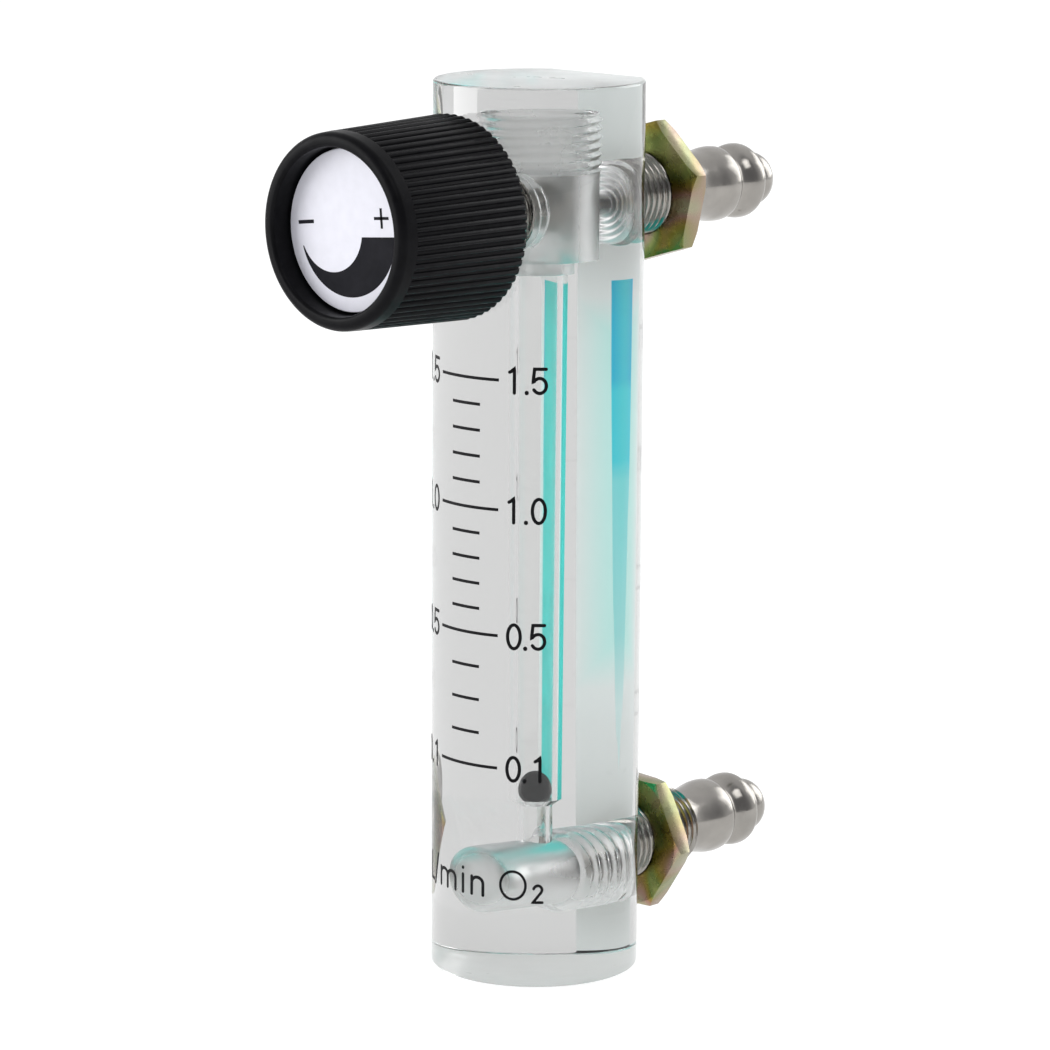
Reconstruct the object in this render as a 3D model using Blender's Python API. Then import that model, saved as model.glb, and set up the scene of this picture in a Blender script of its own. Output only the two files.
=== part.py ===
"""Oxygen flowmeter with a needle valve and two hose fittings, in metres.

The clear body is a bar with a D-shaped section that stands upright on its base.
The knob faces -Y, and both fittings leave the flat back toward +Y.
Gas enters the lower port, lifts the ball in the tapered bore, fills the cavity
under the top plug and leaves past the needle through the upper port.
"""
import math

import bmesh
import bpy
from mathutils import Matrix, Vector

# Running gap between two pieces that touch on the real object
FIT_GAP = 0.0003

# Clear body
BODY_RADIUS = 0.0125
BACK_FLAT_OFFSET = 0.0102
BODY_EDGE = 0.0004

# Ports, all with the same fine thread
INLET_HEIGHT = 0.012
PORT_SPACING = 0.080
TOP_ABOVE_OUTLET = 0.015
PORT_DIAMETER = 0.010
PORT_CHAMFER = 0.0004
INLET_THREAD_DEPTH = 0.0085
PILOT_DIAMETER = 0.008
PILOT_DEPTH = 0.0205
PILOT_END_ROUND = 0.0022
OUTLET_DEPTH = 0.0042
ORIFICE_DIAMETER = 0.0025
VALVE_PORT_END = 0.0030

# Passage along the body's axis
PLUG_ABOVE_OUTLET = 0.004
PLUG_EDGE = 0.0005
CAVITY_DIAMETER = 0.0096
CAVITY_BELOW_PORT = 0.006
BORE_TOP_DIAMETER = 0.0047
BORE_FOOT_DIAMETER = 0.00424
NECK_DIAMETER = 0.0028
NECK_LENGTH = 0.0043
STOP_DIAMETER = 0.0056
STOP_THICKNESS = 0.0018
STOP_HOLE_DIAMETER = 0.0022
BALL_DIAMETER = 0.0041

# Hose fittings
INLET_STEM_INSET = 0.0035
OUTLET_STEM_INSET = 0.0039
STEM_LENGTH = 0.0184
STEM_EDGE = 0.0005
FITTING_BORE = 0.0042
UNDERCUT_DIAMETER = 0.0078
UNDERCUT_LENGTH = 0.0016
BARB_DIAMETER = 0.0092
BARB_VALLEY_DIAMETER = 0.0075
BARB_RISE = 0.0047
BARB_PITCH = 0.0044
BARB_CREST_ROUND = 0.0016
NOSE_DIAMETER = 0.0067
NOSE_LENGTH = 0.0030
NOSE_ROUND = 0.0022
NOSE_LAND = 0.0003

# Lock nuts that clamp a panel against the flat back
NUT_ACROSS_FLATS = 0.0157
NUT_THICKNESS = 0.0025
NUT_HOLE_CHAMFER = 0.0006
NUT_CORNER_CHAMFER = 0.0008
INLET_NUT_DISTANCE = 0.0060
OUTLET_NUT_DISTANCE = 0.0078
INLET_NUT_TURN = math.radians(3.5)
OUTLET_NUT_TURN = math.radians(-17.0)

# Bush that carries the valve, screwed into the front of the body
FRONT_FACE_DEPTH = 0.0020
BUSH_HEAD_ACROSS_FLATS = 0.011
BUSH_HEAD_THICKNESS = 0.0020
BUSH_STEM_SETBACK = 0.0005
BUSH_NECK_DIAMETER = 0.008
BUSH_NECK_LENGTH = 0.0029
PACKING_CHAMBER_DIAMETER = 0.0066
PACKING_CHAMBER_DEPTH = 0.0026
BUSH_RING_SECTION = 0.0010
BUSH_RING_GROOVE_WIDTH = 0.0014

# Packing at the shaft
SHAFT_RING_SECTION = 0.0009
GLAND_WASHER_THICKNESS = 0.0009
GLAND_NUT_ACROSS_FLATS = 0.010
GLAND_NUT_WALL = 0.0010

# Spindle and needle, distances measured forward from the body's axis
SPINDLE_THREAD_DIAMETER = 0.0063
SPINDLE_THREAD_START = -0.0020
SPINDLE_THREAD_LENGTH = 0.0106
SPINDLE_THREAD_PITCH = 0.001
VALVE_TURNS = 2.75
SHAFT_DIAMETER = 0.0040
SHAFT_FLAT_OFFSET = 0.0015
SPINDLE_EDGE = 0.0003
NEEDLE_DIAMETER = 0.0030
NEEDLE_LENGTH = 0.0037
NEEDLE_TIP_DIAMETER = 0.0014
NEEDLE_SHANK_DIAMETER = 0.0022
NEEDLE_SHANK_LENGTH = 0.0035

# Knob
KNOB_STANDOFF = 0.0020
KNOB_LENGTH = 0.0198
KNOB_BACK_DIAMETER = 0.0240
KNOB_FRONT_DIAMETER = 0.0226
KNOB_RIBS = 66
KNOB_RIB_DEPTH = 0.00035
KNOB_SMOOTH_BAND = 0.0024
KNOB_BACK_WALL = 0.0016
KNOB_WEB_THICKNESS = 0.0022
KNOB_RIM_WIDTH = 0.0018
KNOB_RIM_ROUND = 0.0009
HUB_DIAMETER = 0.0100
HUB_END_WALL = 0.0012
DISC_RECESS = 0.0026
DISC_DIAMETER = 0.0186
DISC_THICKNESS = 0.0010

# Screw and washer under the disc
SCREW_DIAMETER = 0.0024
SCREW_LENGTH = 0.0080
SCREW_HEAD_DIAMETER = 0.0054
SCREW_HEAD_HEIGHT = 0.0016
SCREW_HEAD_CLEARANCE = 0.0007
SCREW_SLOT_WIDTH = 0.0007
SCREW_SLOT_DEPTH = 0.0008
WASHER_DIAMETER = 0.0062
WASHER_THICKNESS = 0.0005

# Facets of round shapes
BODY_STEPS = 64
PORT_STEPS = 36
TURNED_STEPS = 32
RING_STEPS = 24
RING_SECTION_STEPS = 8
BALL_STEPS = 20
ARC_STEPS = 3
WELD_DISTANCE = 1e-6
CUT_OVERSHOOT = 0.001
SHARP_ANGLE = math.radians(35.0)

# Places that follow from the sizes above
OUTLET_HEIGHT = INLET_HEIGHT + PORT_SPACING
BODY_HEIGHT = OUTLET_HEIGHT + TOP_ABOVE_OUTLET
PORT_RADIUS = PORT_DIAMETER / 2
STEM_RADIUS = PORT_RADIUS - FIT_GAP
CAVITY_FLOOR = OUTLET_HEIGHT - CAVITY_BELOW_PORT
PLUG_FOOT = OUTLET_HEIGHT + PLUG_ABOVE_OUTLET
NECK_TOP = INLET_HEIGHT + PILOT_DIAMETER / 2 + NECK_LENGTH
SEAT_TOP = NECK_TOP + (BORE_FOOT_DIAMETER - NECK_DIAMETER) / 2
STOP_FOOT = CAVITY_FLOOR - STOP_THICKNESS + FIT_GAP
BALL_REST = NECK_TOP - NECK_DIAMETER / 2 + math.sqrt(2) * (BALL_DIAMETER / 2 + FIT_GAP)
VALVE_TRAVEL = VALVE_TURNS * SPINDLE_THREAD_PITCH
FRONT_FACE_OFFSET = BODY_RADIUS - FRONT_FACE_DEPTH
BUSH_STEM_END = CAVITY_DIAMETER / 2 + BUSH_STEM_SETBACK
BUSH_HEAD_FOOT = FRONT_FACE_OFFSET + FIT_GAP
BUSH_HEAD_TOP = BUSH_HEAD_FOOT + BUSH_HEAD_THICKNESS
BUSH_NECK_TOP = BUSH_HEAD_TOP + BUSH_NECK_LENGTH
SPINDLE_THREAD_END = SPINDLE_THREAD_START + SPINDLE_THREAD_LENGTH
GLAND_NUT_TOP = BUSH_NECK_TOP + FIT_GAP + GLAND_NUT_WALL
KNOB_BACK_OFFSET = BODY_RADIUS + KNOB_STANDOFF
KNOB_FRONT = KNOB_BACK_OFFSET + KNOB_LENGTH
DISC_FACE = KNOB_FRONT - DISC_RECESS
DISC_SEAT = DISC_FACE - DISC_THICKNESS - FIT_GAP
SCREW_HEAD_FOOT = DISC_SEAT - SCREW_HEAD_CLEARANCE - SCREW_HEAD_HEIGHT
WASHER_FOOT = SCREW_HEAD_FOOT - FIT_GAP - WASHER_THICKNESS
HUB_WALL_TOP = WASHER_FOOT - FIT_GAP
HUB_WALL_FOOT = HUB_WALL_TOP - HUB_END_WALL
SHAFT_TOP = HUB_WALL_FOOT - FIT_GAP
HUB_FOOT = GLAND_NUT_TOP + 2 * FIT_GAP

# Directions of the part's horizontal axes, as turns about X from local +Z
FORWARD = Matrix.Rotation(math.radians(90.0), 4, "X")
BACKWARD = Matrix.Rotation(math.radians(-90.0), 4, "X")


def corner_radius(across_flats):
    """Radius through the corners of a hexagon."""
    return across_flats / math.sqrt(3)


def arc(centre, radius, start, end, steps=ARC_STEPS):
    """Points (along, radius) on an arc, with angles in degrees from the axis's direction."""
    points = []
    for step in range(steps + 1):
        angle = math.radians(start + (end - start) * step / steps)
        points.append((centre[0] + radius * math.cos(angle), centre[1] + radius * math.sin(angle)))
    return points


def clear_scene():
    """Empty the scene of every object."""
    for item in list(bpy.data.objects):
        bpy.data.objects.remove(item, do_unlink=True)


def finish(name, bm, material, parent=None):
    """Turn a bmesh into a named object with one material, under its parent."""
    bmesh.ops.remove_doubles(bm, verts=bm.verts, dist=WELD_DISTANCE)
    bmesh.ops.recalc_face_normals(bm, faces=bm.faces)
    if bm.calc_volume(signed=True) < 0:
        bmesh.ops.reverse_faces(bm, faces=bm.faces)
    mesh = bpy.data.meshes.new(name)
    bm.to_mesh(mesh)
    bm.free()
    mesh.shade_smooth()
    mesh.set_sharp_from_angle(angle=SHARP_ANGLE)
    item = bpy.data.objects.new(name, mesh)
    bpy.context.collection.objects.link(item)
    item.parent = parent
    if material:
        mesh.materials.append(material)
    else:
        item.hide_render = True
        item.display_type = "WIRE"
    return item


def turned(name, profile, material, parent=None, steps=TURNED_STEPS):
    """Spin an outline of (along, radius) points about local Z; it may start and end on the axis."""
    bm = bmesh.new()
    verts = [bm.verts.new((radius, 0.0, along)) for along, radius in profile]
    pairs = list(zip(verts, verts[1:]))
    if profile[0][1] > 0 or profile[-1][1] > 0:
        pairs.append((verts[-1], verts[0]))
    edges = [bm.edges.new(pair) for pair in pairs]
    bmesh.ops.spin(bm, geom=verts + edges, cent=(0, 0, 0), axis=(0, 0, 1), angle=math.tau, steps=steps,
                   use_merge=True)
    return finish(name, bm, material, parent)


def hex_prism(name, across_flats, foot, top, material, parent, turn=0.0):
    """A hexagonal bar along local Z with its first corner turned from local X."""
    bm = bmesh.new()
    spin = Matrix.Rotation(turn, 4, "Z")
    corner = Vector((corner_radius(across_flats), 0.0, foot))
    verts = [bm.verts.new(spin @ Matrix.Rotation(math.tau * side / 6, 4, "Z") @ corner) for side in range(6)]
    base = bm.faces.new(verts)
    lifted = bmesh.ops.extrude_face_region(bm, geom=[base])
    moved = [part for part in lifted["geom"] if isinstance(part, bmesh.types.BMVert)]
    bmesh.ops.translate(bm, verts=moved, vec=(0, 0, top - foot))
    return finish(name, bm, material, parent)


def boolean(item, tool, operation="DIFFERENCE"):
    """Add a live Boolean modifier to a piece."""
    modifier = item.modifiers.new(operation.title() + " " + tool.name, "BOOLEAN")
    modifier.operation = operation
    modifier.object = tool
    modifier.solver = "EXACT"


def axis_empty(name, height, turn):
    """An empty on a port's axis; its local Z points out of the body."""
    item = bpy.data.objects.new(name, None)
    item.matrix_world = Matrix.Translation((0, 0, height)) @ turn
    item.empty_display_size = BODY_RADIUS
    bpy.context.collection.objects.link(item)
    return item


def plastic(name, color, roughness, transmission=0.0):
    """A moulded or machined plastic."""
    material = bpy.data.materials.new(name)
    material.use_nodes = True
    shader = material.node_tree.nodes["Principled BSDF"]
    shader.inputs["Base Color"].default_value = (*color, 1.0)
    shader.inputs["Roughness"].default_value = roughness
    shader.inputs["Transmission Weight"].default_value = transmission
    shader.inputs["IOR"].default_value = 1.49
    return material


def metal(name, color, roughness):
    """A plated or bare metal."""
    material = plastic(name, color, roughness)
    material.node_tree.nodes["Principled BSDF"].inputs["Metallic"].default_value = 1.0
    return material


def body_ring(bm, radius, flat, height):
    """One D-shaped ring of vertices: an arc closed by the flat back."""
    half_angle = math.acos(flat / radius)
    start = math.pi / 2 + half_angle
    sweep = math.tau - 2 * half_angle
    angles = [start + sweep * step / BODY_STEPS for step in range(BODY_STEPS + 1)]
    return [bm.verts.new((radius * math.cos(angle), radius * math.sin(angle), height)) for angle in angles]


def bridge(bm, lower, upper):
    """Faces between two rings with the same number of vertices."""
    for index in range(len(lower)):
        following = (index + 1) % len(lower)
        bm.faces.new((lower[index], lower[following], upper[following], upper[index]))


def vertical_passage():
    """Cutter for the plug's hole, the cavity, the tapered bore, the ball's seat and the neck."""
    stop_seat = STOP_DIAMETER / 2 + FIT_GAP
    profile = [
        (BODY_HEIGHT + CUT_OVERSHOOT, 0.0),
        (BODY_HEIGHT + CUT_OVERSHOOT, PORT_RADIUS),
        (PLUG_FOOT - FIT_GAP, PORT_RADIUS),
        (PLUG_FOOT - FIT_GAP, CAVITY_DIAMETER / 2),
        (CAVITY_FLOOR, CAVITY_DIAMETER / 2),
        (CAVITY_FLOOR, stop_seat),
        (STOP_FOOT - FIT_GAP, stop_seat),
        (STOP_FOOT - FIT_GAP, BORE_TOP_DIAMETER / 2),
        (SEAT_TOP, BORE_FOOT_DIAMETER / 2),
        (NECK_TOP, NECK_DIAMETER / 2),
        (INLET_HEIGHT, NECK_DIAMETER / 2),
        (INLET_HEIGHT, 0.0),
    ]
    return turned("cut_vertical_passage", profile, None, steps=PORT_STEPS)


def inlet_port(axis):
    """Cutter for the lower port: thread, then a blind pilot hole with a rounded end."""
    thread_end = BACK_FLAT_OFFSET - INLET_THREAD_DEPTH
    pilot_end = BACK_FLAT_OFFSET - PILOT_DEPTH
    pilot = PILOT_DIAMETER / 2
    profile = [
        (BACK_FLAT_OFFSET + CUT_OVERSHOOT, 0.0),
        (BACK_FLAT_OFFSET + CUT_OVERSHOOT, PORT_RADIUS + PORT_CHAMFER + CUT_OVERSHOOT),
        (BACK_FLAT_OFFSET - PORT_CHAMFER, PORT_RADIUS),
        (thread_end, PORT_RADIUS),
        (thread_end, pilot),
    ]
    profile += arc((pilot_end + PILOT_END_ROUND, pilot - PILOT_END_ROUND), PILOT_END_ROUND, 90, 180)
    profile.append((pilot_end, 0.0))
    return turned("cut_inlet_port", profile, None, axis, PORT_STEPS)


def outlet_port(axis):
    """Cutter for the upper port and the orifice that the needle closes."""
    port_end = BACK_FLAT_OFFSET - OUTLET_DEPTH
    profile = [
        (BACK_FLAT_OFFSET + CUT_OVERSHOOT, 0.0),
        (BACK_FLAT_OFFSET + CUT_OVERSHOOT, PORT_RADIUS + PORT_CHAMFER + CUT_OVERSHOOT),
        (BACK_FLAT_OFFSET - PORT_CHAMFER, PORT_RADIUS),
        (port_end, PORT_RADIUS),
        (port_end, ORIFICE_DIAMETER / 2),
        (0.0, ORIFICE_DIAMETER / 2),
        (0.0, 0.0),
    ]
    return turned("cut_outlet_port", profile, None, axis, PORT_STEPS)


def valve_port(axis):
    """Cutter for the bush: a spot-faced seat, the ring's groove and the threaded hole."""
    seat_radius = corner_radius(BUSH_HEAD_ACROSS_FLATS) + FIT_GAP
    groove_radius = STEM_RADIUS + BUSH_RING_SECTION + 1.3 * FIT_GAP
    groove_foot = FRONT_FACE_OFFSET - BUSH_RING_GROOVE_WIDTH
    profile = [
        (BODY_RADIUS + CUT_OVERSHOOT, 0.0),
        (BODY_RADIUS + CUT_OVERSHOOT, seat_radius),
        (FRONT_FACE_OFFSET, seat_radius),
        (FRONT_FACE_OFFSET, groove_radius),
        (groove_foot, groove_radius),
        (groove_foot, PORT_RADIUS),
        (VALVE_PORT_END, PORT_RADIUS),
        (VALVE_PORT_END, 0.0),
    ]
    return turned("cut_valve_port", profile, None, axis, PORT_STEPS)


def body_block(material, cutters):
    """The clear bar with every passage cut out of it."""
    bm = bmesh.new()
    levels = [
        (BODY_EDGE, 0.0),
        (0.0, BODY_EDGE),
        (0.0, BODY_HEIGHT - BODY_EDGE),
        (BODY_EDGE, BODY_HEIGHT),
    ]
    rings = [body_ring(bm, BODY_RADIUS - inset, BACK_FLAT_OFFSET - inset, height) for inset, height in levels]
    for lower, upper in zip(rings, rings[1:]):
        bridge(bm, lower, upper)
    bm.faces.new(reversed(rings[0]))
    bm.faces.new(rings[-1])
    item = finish("body_block", bm, material)
    for cutter in cutters:
        boolean(item, cutter)
    return item


def top_plug(material):
    """Clear screw plug, flush with the top of the body."""
    profile = [
        (BODY_HEIGHT, 0.0),
        (BODY_HEIGHT, STEM_RADIUS),
        (PLUG_FOOT + PLUG_EDGE, STEM_RADIUS),
        (PLUG_FOOT, STEM_RADIUS - PLUG_EDGE),
        (PLUG_FOOT, 0.0),
    ]
    return turned("top_plug", profile, material)


def float_stop(material):
    """Clear ring that keeps the ball out of the cavity."""
    profile = [
        (STOP_FOOT, STOP_HOLE_DIAMETER / 2),
        (STOP_FOOT, STOP_DIAMETER / 2),
        (STOP_FOOT + STOP_THICKNESS, STOP_DIAMETER / 2),
        (STOP_FOOT + STOP_THICKNESS, STOP_HOLE_DIAMETER / 2),
    ]
    return turned("float_stop", profile, material)


def float_ball(material):
    """Ball that rides in the tapered bore, its origin on the bore's axis."""
    bm = bmesh.new()
    bmesh.ops.create_uvsphere(bm, u_segments=BALL_STEPS, v_segments=BALL_STEPS // 2, radius=BALL_DIAMETER / 2)
    item = finish("float_ball", bm, material)
    item.location = (0, 0, BALL_REST)
    return item


def barb(foot, crest_diameter, rise, last_diameter, fall):
    """Outline of one rounded barb: a slow rise, a round crest and a steep fall."""
    crest = crest_diameter / 2
    top = foot + rise
    return [
        (foot + 0.45 * rise, crest - 0.22 * BARB_CREST_ROUND),
        (top - 0.5 * BARB_CREST_ROUND, crest - 0.04 * BARB_CREST_ROUND),
        (top, crest),
        (top + 0.4 * BARB_CREST_ROUND, crest - 0.06 * BARB_CREST_ROUND),
        (top + 0.75 * BARB_CREST_ROUND, crest - 0.22 * BARB_CREST_ROUND),
        (top + fall, last_diameter / 2),
    ]


def fitting(name, inset, material, axis):
    """Threaded stem with two barbs and a rounded nose, bored through."""
    foot = BACK_FLAT_OFFSET - inset
    stem_top = foot + STEM_LENGTH
    undercut_top = stem_top + UNDERCUT_LENGTH
    valley = undercut_top + BARB_RISE + 0.45 * BARB_PITCH
    nose_foot = valley + BARB_PITCH
    nose_top = nose_foot + NOSE_LENGTH
    nose_centre = NOSE_DIAMETER / 2 - NOSE_ROUND
    bore = FITTING_BORE / 2
    nose_end = math.degrees(math.asin((bore + NOSE_LAND - nose_centre) / NOSE_ROUND))
    undercut = UNDERCUT_DIAMETER / 2
    profile = [
        (foot, bore),
        (foot, STEM_RADIUS - STEM_EDGE),
        (foot + STEM_EDGE, STEM_RADIUS),
        (stem_top - STEM_EDGE, STEM_RADIUS),
        (stem_top, undercut),
        (undercut_top, undercut),
    ]
    profile += barb(undercut_top, BARB_DIAMETER, BARB_RISE, BARB_VALLEY_DIAMETER, 0.45 * BARB_PITCH)
    profile += barb(valley, BARB_DIAMETER, 0.55 * BARB_PITCH, NOSE_DIAMETER, 0.45 * BARB_PITCH)
    profile += arc((nose_top - NOSE_ROUND, nose_centre), NOSE_ROUND, 90, nose_end)
    profile.append((profile[-1][0], bore))
    return turned(name, profile, material, axis)


def chamfered_nut(name, distance, turn, material, axis):
    """Thin hexagonal nut with chamfered corners and a chamfered hole."""
    foot = BACK_FLAT_OFFSET + distance
    top = foot + NUT_THICKNESS
    nut = hex_prism(name, NUT_ACROSS_FLATS, foot, top, material, axis, turn)
    corner = corner_radius(NUT_ACROSS_FLATS)
    lead = NUT_CORNER_CHAMFER
    drop = lead * math.tan(math.radians(30.0))
    outside = [
        (foot - drop, 0.0),
        (foot - drop, corner - 2 * lead),
        (foot + drop, corner),
        (foot + drop, corner + lead),
        (top - drop, corner + lead),
        (top - drop, corner),
        (top + drop, corner - 2 * lead),
        (top + drop, 0.0),
    ]
    wide = PORT_RADIUS + NUT_HOLE_CHAMFER + CUT_OVERSHOOT
    hole = [
        (foot - CUT_OVERSHOOT, 0.0),
        (foot - CUT_OVERSHOOT, wide),
        (foot + NUT_HOLE_CHAMFER, PORT_RADIUS),
        (top - NUT_HOLE_CHAMFER, PORT_RADIUS),
        (top + CUT_OVERSHOOT, wide),
        (top + CUT_OVERSHOOT, 0.0),
    ]
    boolean(nut, turned("cut_" + name + "_corners", outside, None, axis), "INTERSECT")
    boolean(nut, turned("cut_" + name + "_hole", hole, None, axis))
    return nut


def ring(name, inner_radius, section, centre, material, axis):
    """A rubber O-ring around local Z."""
    middle = inner_radius + section / 2
    profile = arc((centre, middle), section / 2, 0, 360, RING_SECTION_STEPS)[:-1]
    return turned(name, profile, material, axis, RING_STEPS)


def valve_bush(material, axis):
    """Bush with a hexagonal head, a threaded stem and an open packing chamber."""
    thread = SPINDLE_THREAD_DIAMETER / 2 + FIT_GAP
    thread_end = SPINDLE_THREAD_END + VALVE_TRAVEL + FIT_GAP
    shaft_hole = SHAFT_DIAMETER / 2 + FIT_GAP
    chamber = PACKING_CHAMBER_DIAMETER / 2
    chamber_floor = BUSH_NECK_TOP - PACKING_CHAMBER_DEPTH
    head = hex_prism("valve_bush", BUSH_HEAD_ACROSS_FLATS, BUSH_HEAD_FOOT, BUSH_HEAD_TOP, material, axis)
    stem = turned("add_bush_stem", [
        (BUSH_STEM_END, 0.0),
        (BUSH_STEM_END, STEM_RADIUS - STEM_EDGE),
        (BUSH_STEM_END + STEM_EDGE, STEM_RADIUS),
        (BUSH_HEAD_FOOT + BUSH_HEAD_THICKNESS / 2, STEM_RADIUS),
        (BUSH_HEAD_FOOT + BUSH_HEAD_THICKNESS / 2, BUSH_NECK_DIAMETER / 2),
        (BUSH_NECK_TOP, BUSH_NECK_DIAMETER / 2),
        (BUSH_NECK_TOP, 0.0),
    ], None, axis)
    passage = turned("cut_bush_passage", [
        (BUSH_STEM_END - CUT_OVERSHOOT, 0.0),
        (BUSH_STEM_END - CUT_OVERSHOOT, thread),
        (thread_end, thread),
        (thread_end, shaft_hole),
        (chamber_floor, shaft_hole),
        (chamber_floor, chamber),
        (BUSH_NECK_TOP + CUT_OVERSHOOT, chamber),
        (BUSH_NECK_TOP + CUT_OVERSHOOT, 0.0),
    ], None, axis)
    boolean(head, stem, "UNION")
    boolean(head, passage)
    return head


def gland_washer(material, axis):
    """Washer that presses the shaft's ring into its chamber."""
    foot = BUSH_NECK_TOP - GLAND_WASHER_THICKNESS
    inner = SHAFT_DIAMETER / 2 + FIT_GAP
    outer = PACKING_CHAMBER_DIAMETER / 2 - FIT_GAP
    profile = [(foot, inner), (foot, outer), (BUSH_NECK_TOP, outer), (BUSH_NECK_TOP, inner)]
    return turned("gland_washer", profile, material, axis)


def gland_nut(material, axis):
    """Cap nut that closes the packing chamber around the shaft."""
    foot = BUSH_HEAD_TOP + FIT_GAP
    nut = hex_prism("gland_nut", GLAND_NUT_ACROSS_FLATS, foot, GLAND_NUT_TOP, material, axis)
    inner_face = BUSH_NECK_TOP + FIT_GAP
    thread = BUSH_NECK_DIAMETER / 2 + FIT_GAP
    shaft_hole = SHAFT_DIAMETER / 2 + FIT_GAP
    hollow = turned("cut_gland_nut", [
        (foot - CUT_OVERSHOOT, 0.0),
        (foot - CUT_OVERSHOOT, thread),
        (inner_face, thread),
        (inner_face, shaft_hole),
        (GLAND_NUT_TOP + CUT_OVERSHOOT, shaft_hole),
        (GLAND_NUT_TOP + CUT_OVERSHOOT, 0.0),
    ], None, axis)
    boolean(nut, hollow)
    return nut


def valve_spindle(material, axis):
    """Threaded spindle with a plain shaft, a flat for the knob and holes for the needle and screw."""
    thread = SPINDLE_THREAD_DIAMETER / 2
    shaft = SHAFT_DIAMETER / 2
    needle_hole = NEEDLE_SHANK_DIAMETER / 2 + FIT_GAP
    needle_hole_end = SPINDLE_THREAD_START + NEEDLE_SHANK_LENGTH + FIT_GAP
    screw_hole = SCREW_DIAMETER / 2 + FIT_GAP
    screw_hole_end = SCREW_HEAD_FOOT - SCREW_LENGTH - FIT_GAP
    profile = [
        (needle_hole_end, 0.0),
        (needle_hole_end, needle_hole),
        (SPINDLE_THREAD_START, needle_hole),
        (SPINDLE_THREAD_START, thread - SPINDLE_EDGE),
        (SPINDLE_THREAD_START + SPINDLE_EDGE, thread),
        (SPINDLE_THREAD_END - SPINDLE_EDGE, thread),
        (SPINDLE_THREAD_END, thread - SPINDLE_EDGE),
        (SPINDLE_THREAD_END, shaft),
        (SHAFT_TOP - SPINDLE_EDGE, shaft),
        (SHAFT_TOP, shaft - SPINDLE_EDGE),
        (SHAFT_TOP, screw_hole),
        (screw_hole_end, screw_hole),
        (screw_hole_end, 0.0),
    ]
    spindle = turned("valve_spindle", profile, material, axis)
    flat_length = SHAFT_TOP - HUB_FOOT + FIT_GAP
    bm = bmesh.new()
    size = Vector((SHAFT_DIAMETER, 2 * SHAFT_DIAMETER, flat_length + CUT_OVERSHOOT))
    centre = Vector((SHAFT_FLAT_OFFSET + size.x / 2, 0, SHAFT_TOP - flat_length + size.z / 2))
    bmesh.ops.create_cube(bm, size=1.0, matrix=Matrix.Translation(centre) @ Matrix.Diagonal((*size, 1.0)))
    boolean(spindle, finish("cut_shaft_flat", bm, None, axis))
    return spindle


def valve_needle(material, axis):
    """Needle with a shank that is pressed into the end of the spindle."""
    shoulder = SPINDLE_THREAD_START - FIT_GAP
    tip = shoulder - NEEDLE_LENGTH
    tip_radius = NEEDLE_TIP_DIAMETER / 2
    needle = NEEDLE_DIAMETER / 2
    profile = [
        (tip, 0.0),
        (tip, 0.6 * tip_radius),
        (tip + 0.4 * tip_radius, tip_radius),
        (shoulder - 0.15 * NEEDLE_LENGTH, needle),
        (shoulder, needle),
        (shoulder, NEEDLE_SHANK_DIAMETER / 2),
        (SPINDLE_THREAD_START + NEEDLE_SHANK_LENGTH, NEEDLE_SHANK_DIAMETER / 2),
        (SPINDLE_THREAD_START + NEEDLE_SHANK_LENGTH, 0.0),
    ]
    return turned("valve_needle", profile, material, axis)


def knob_radius(along):
    """Radius over the knob's ribs, which taper toward the front."""
    share = (along - KNOB_BACK_OFFSET) / KNOB_LENGTH
    return (KNOB_BACK_DIAMETER + (KNOB_FRONT_DIAMETER - KNOB_BACK_DIAMETER) * share) / 2


def ribbed_ring(bm, along):
    """A ring with four vertices for each rib: two on its crest and two in the groove."""
    crest = knob_radius(along)
    root = crest - KNOB_RIB_DEPTH
    verts = []
    for rib in range(KNOB_RIBS):
        for share, radius in ((-0.29, crest), (0.29, crest), (0.42, root), (0.58, root)):
            angle = math.tau * (rib + share) / KNOB_RIBS
            verts.append(bm.verts.new((radius * math.cos(angle), radius * math.sin(angle), along)))
    return verts


def plain_ring(bm, along, radius, flat=None):
    """A ring with one vertex for each rib, cut off at a flat if one is given."""
    verts = []
    for rib in range(KNOB_RIBS):
        angle = math.tau * rib / KNOB_RIBS
        across = radius * math.cos(angle)
        if flat is not None:
            across = min(across, flat)
        verts.append(bm.verts.new((across, radius * math.sin(angle), along)))
    return verts


def join_to_ribs(bm, plain, ribbed):
    """Faces between a plain ring and a ribbed one."""
    for rib in range(KNOB_RIBS):
        following = (rib + 1) % KNOB_RIBS
        crest_start, crest_end, root_start, root_end = ribbed[4 * rib:4 * rib + 4]
        next_crest = ribbed[4 * following]
        bm.faces.new((plain[rib], crest_end, crest_start))
        bm.faces.new((plain[rib], plain[following], next_crest, root_end, root_start, crest_end))


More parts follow.
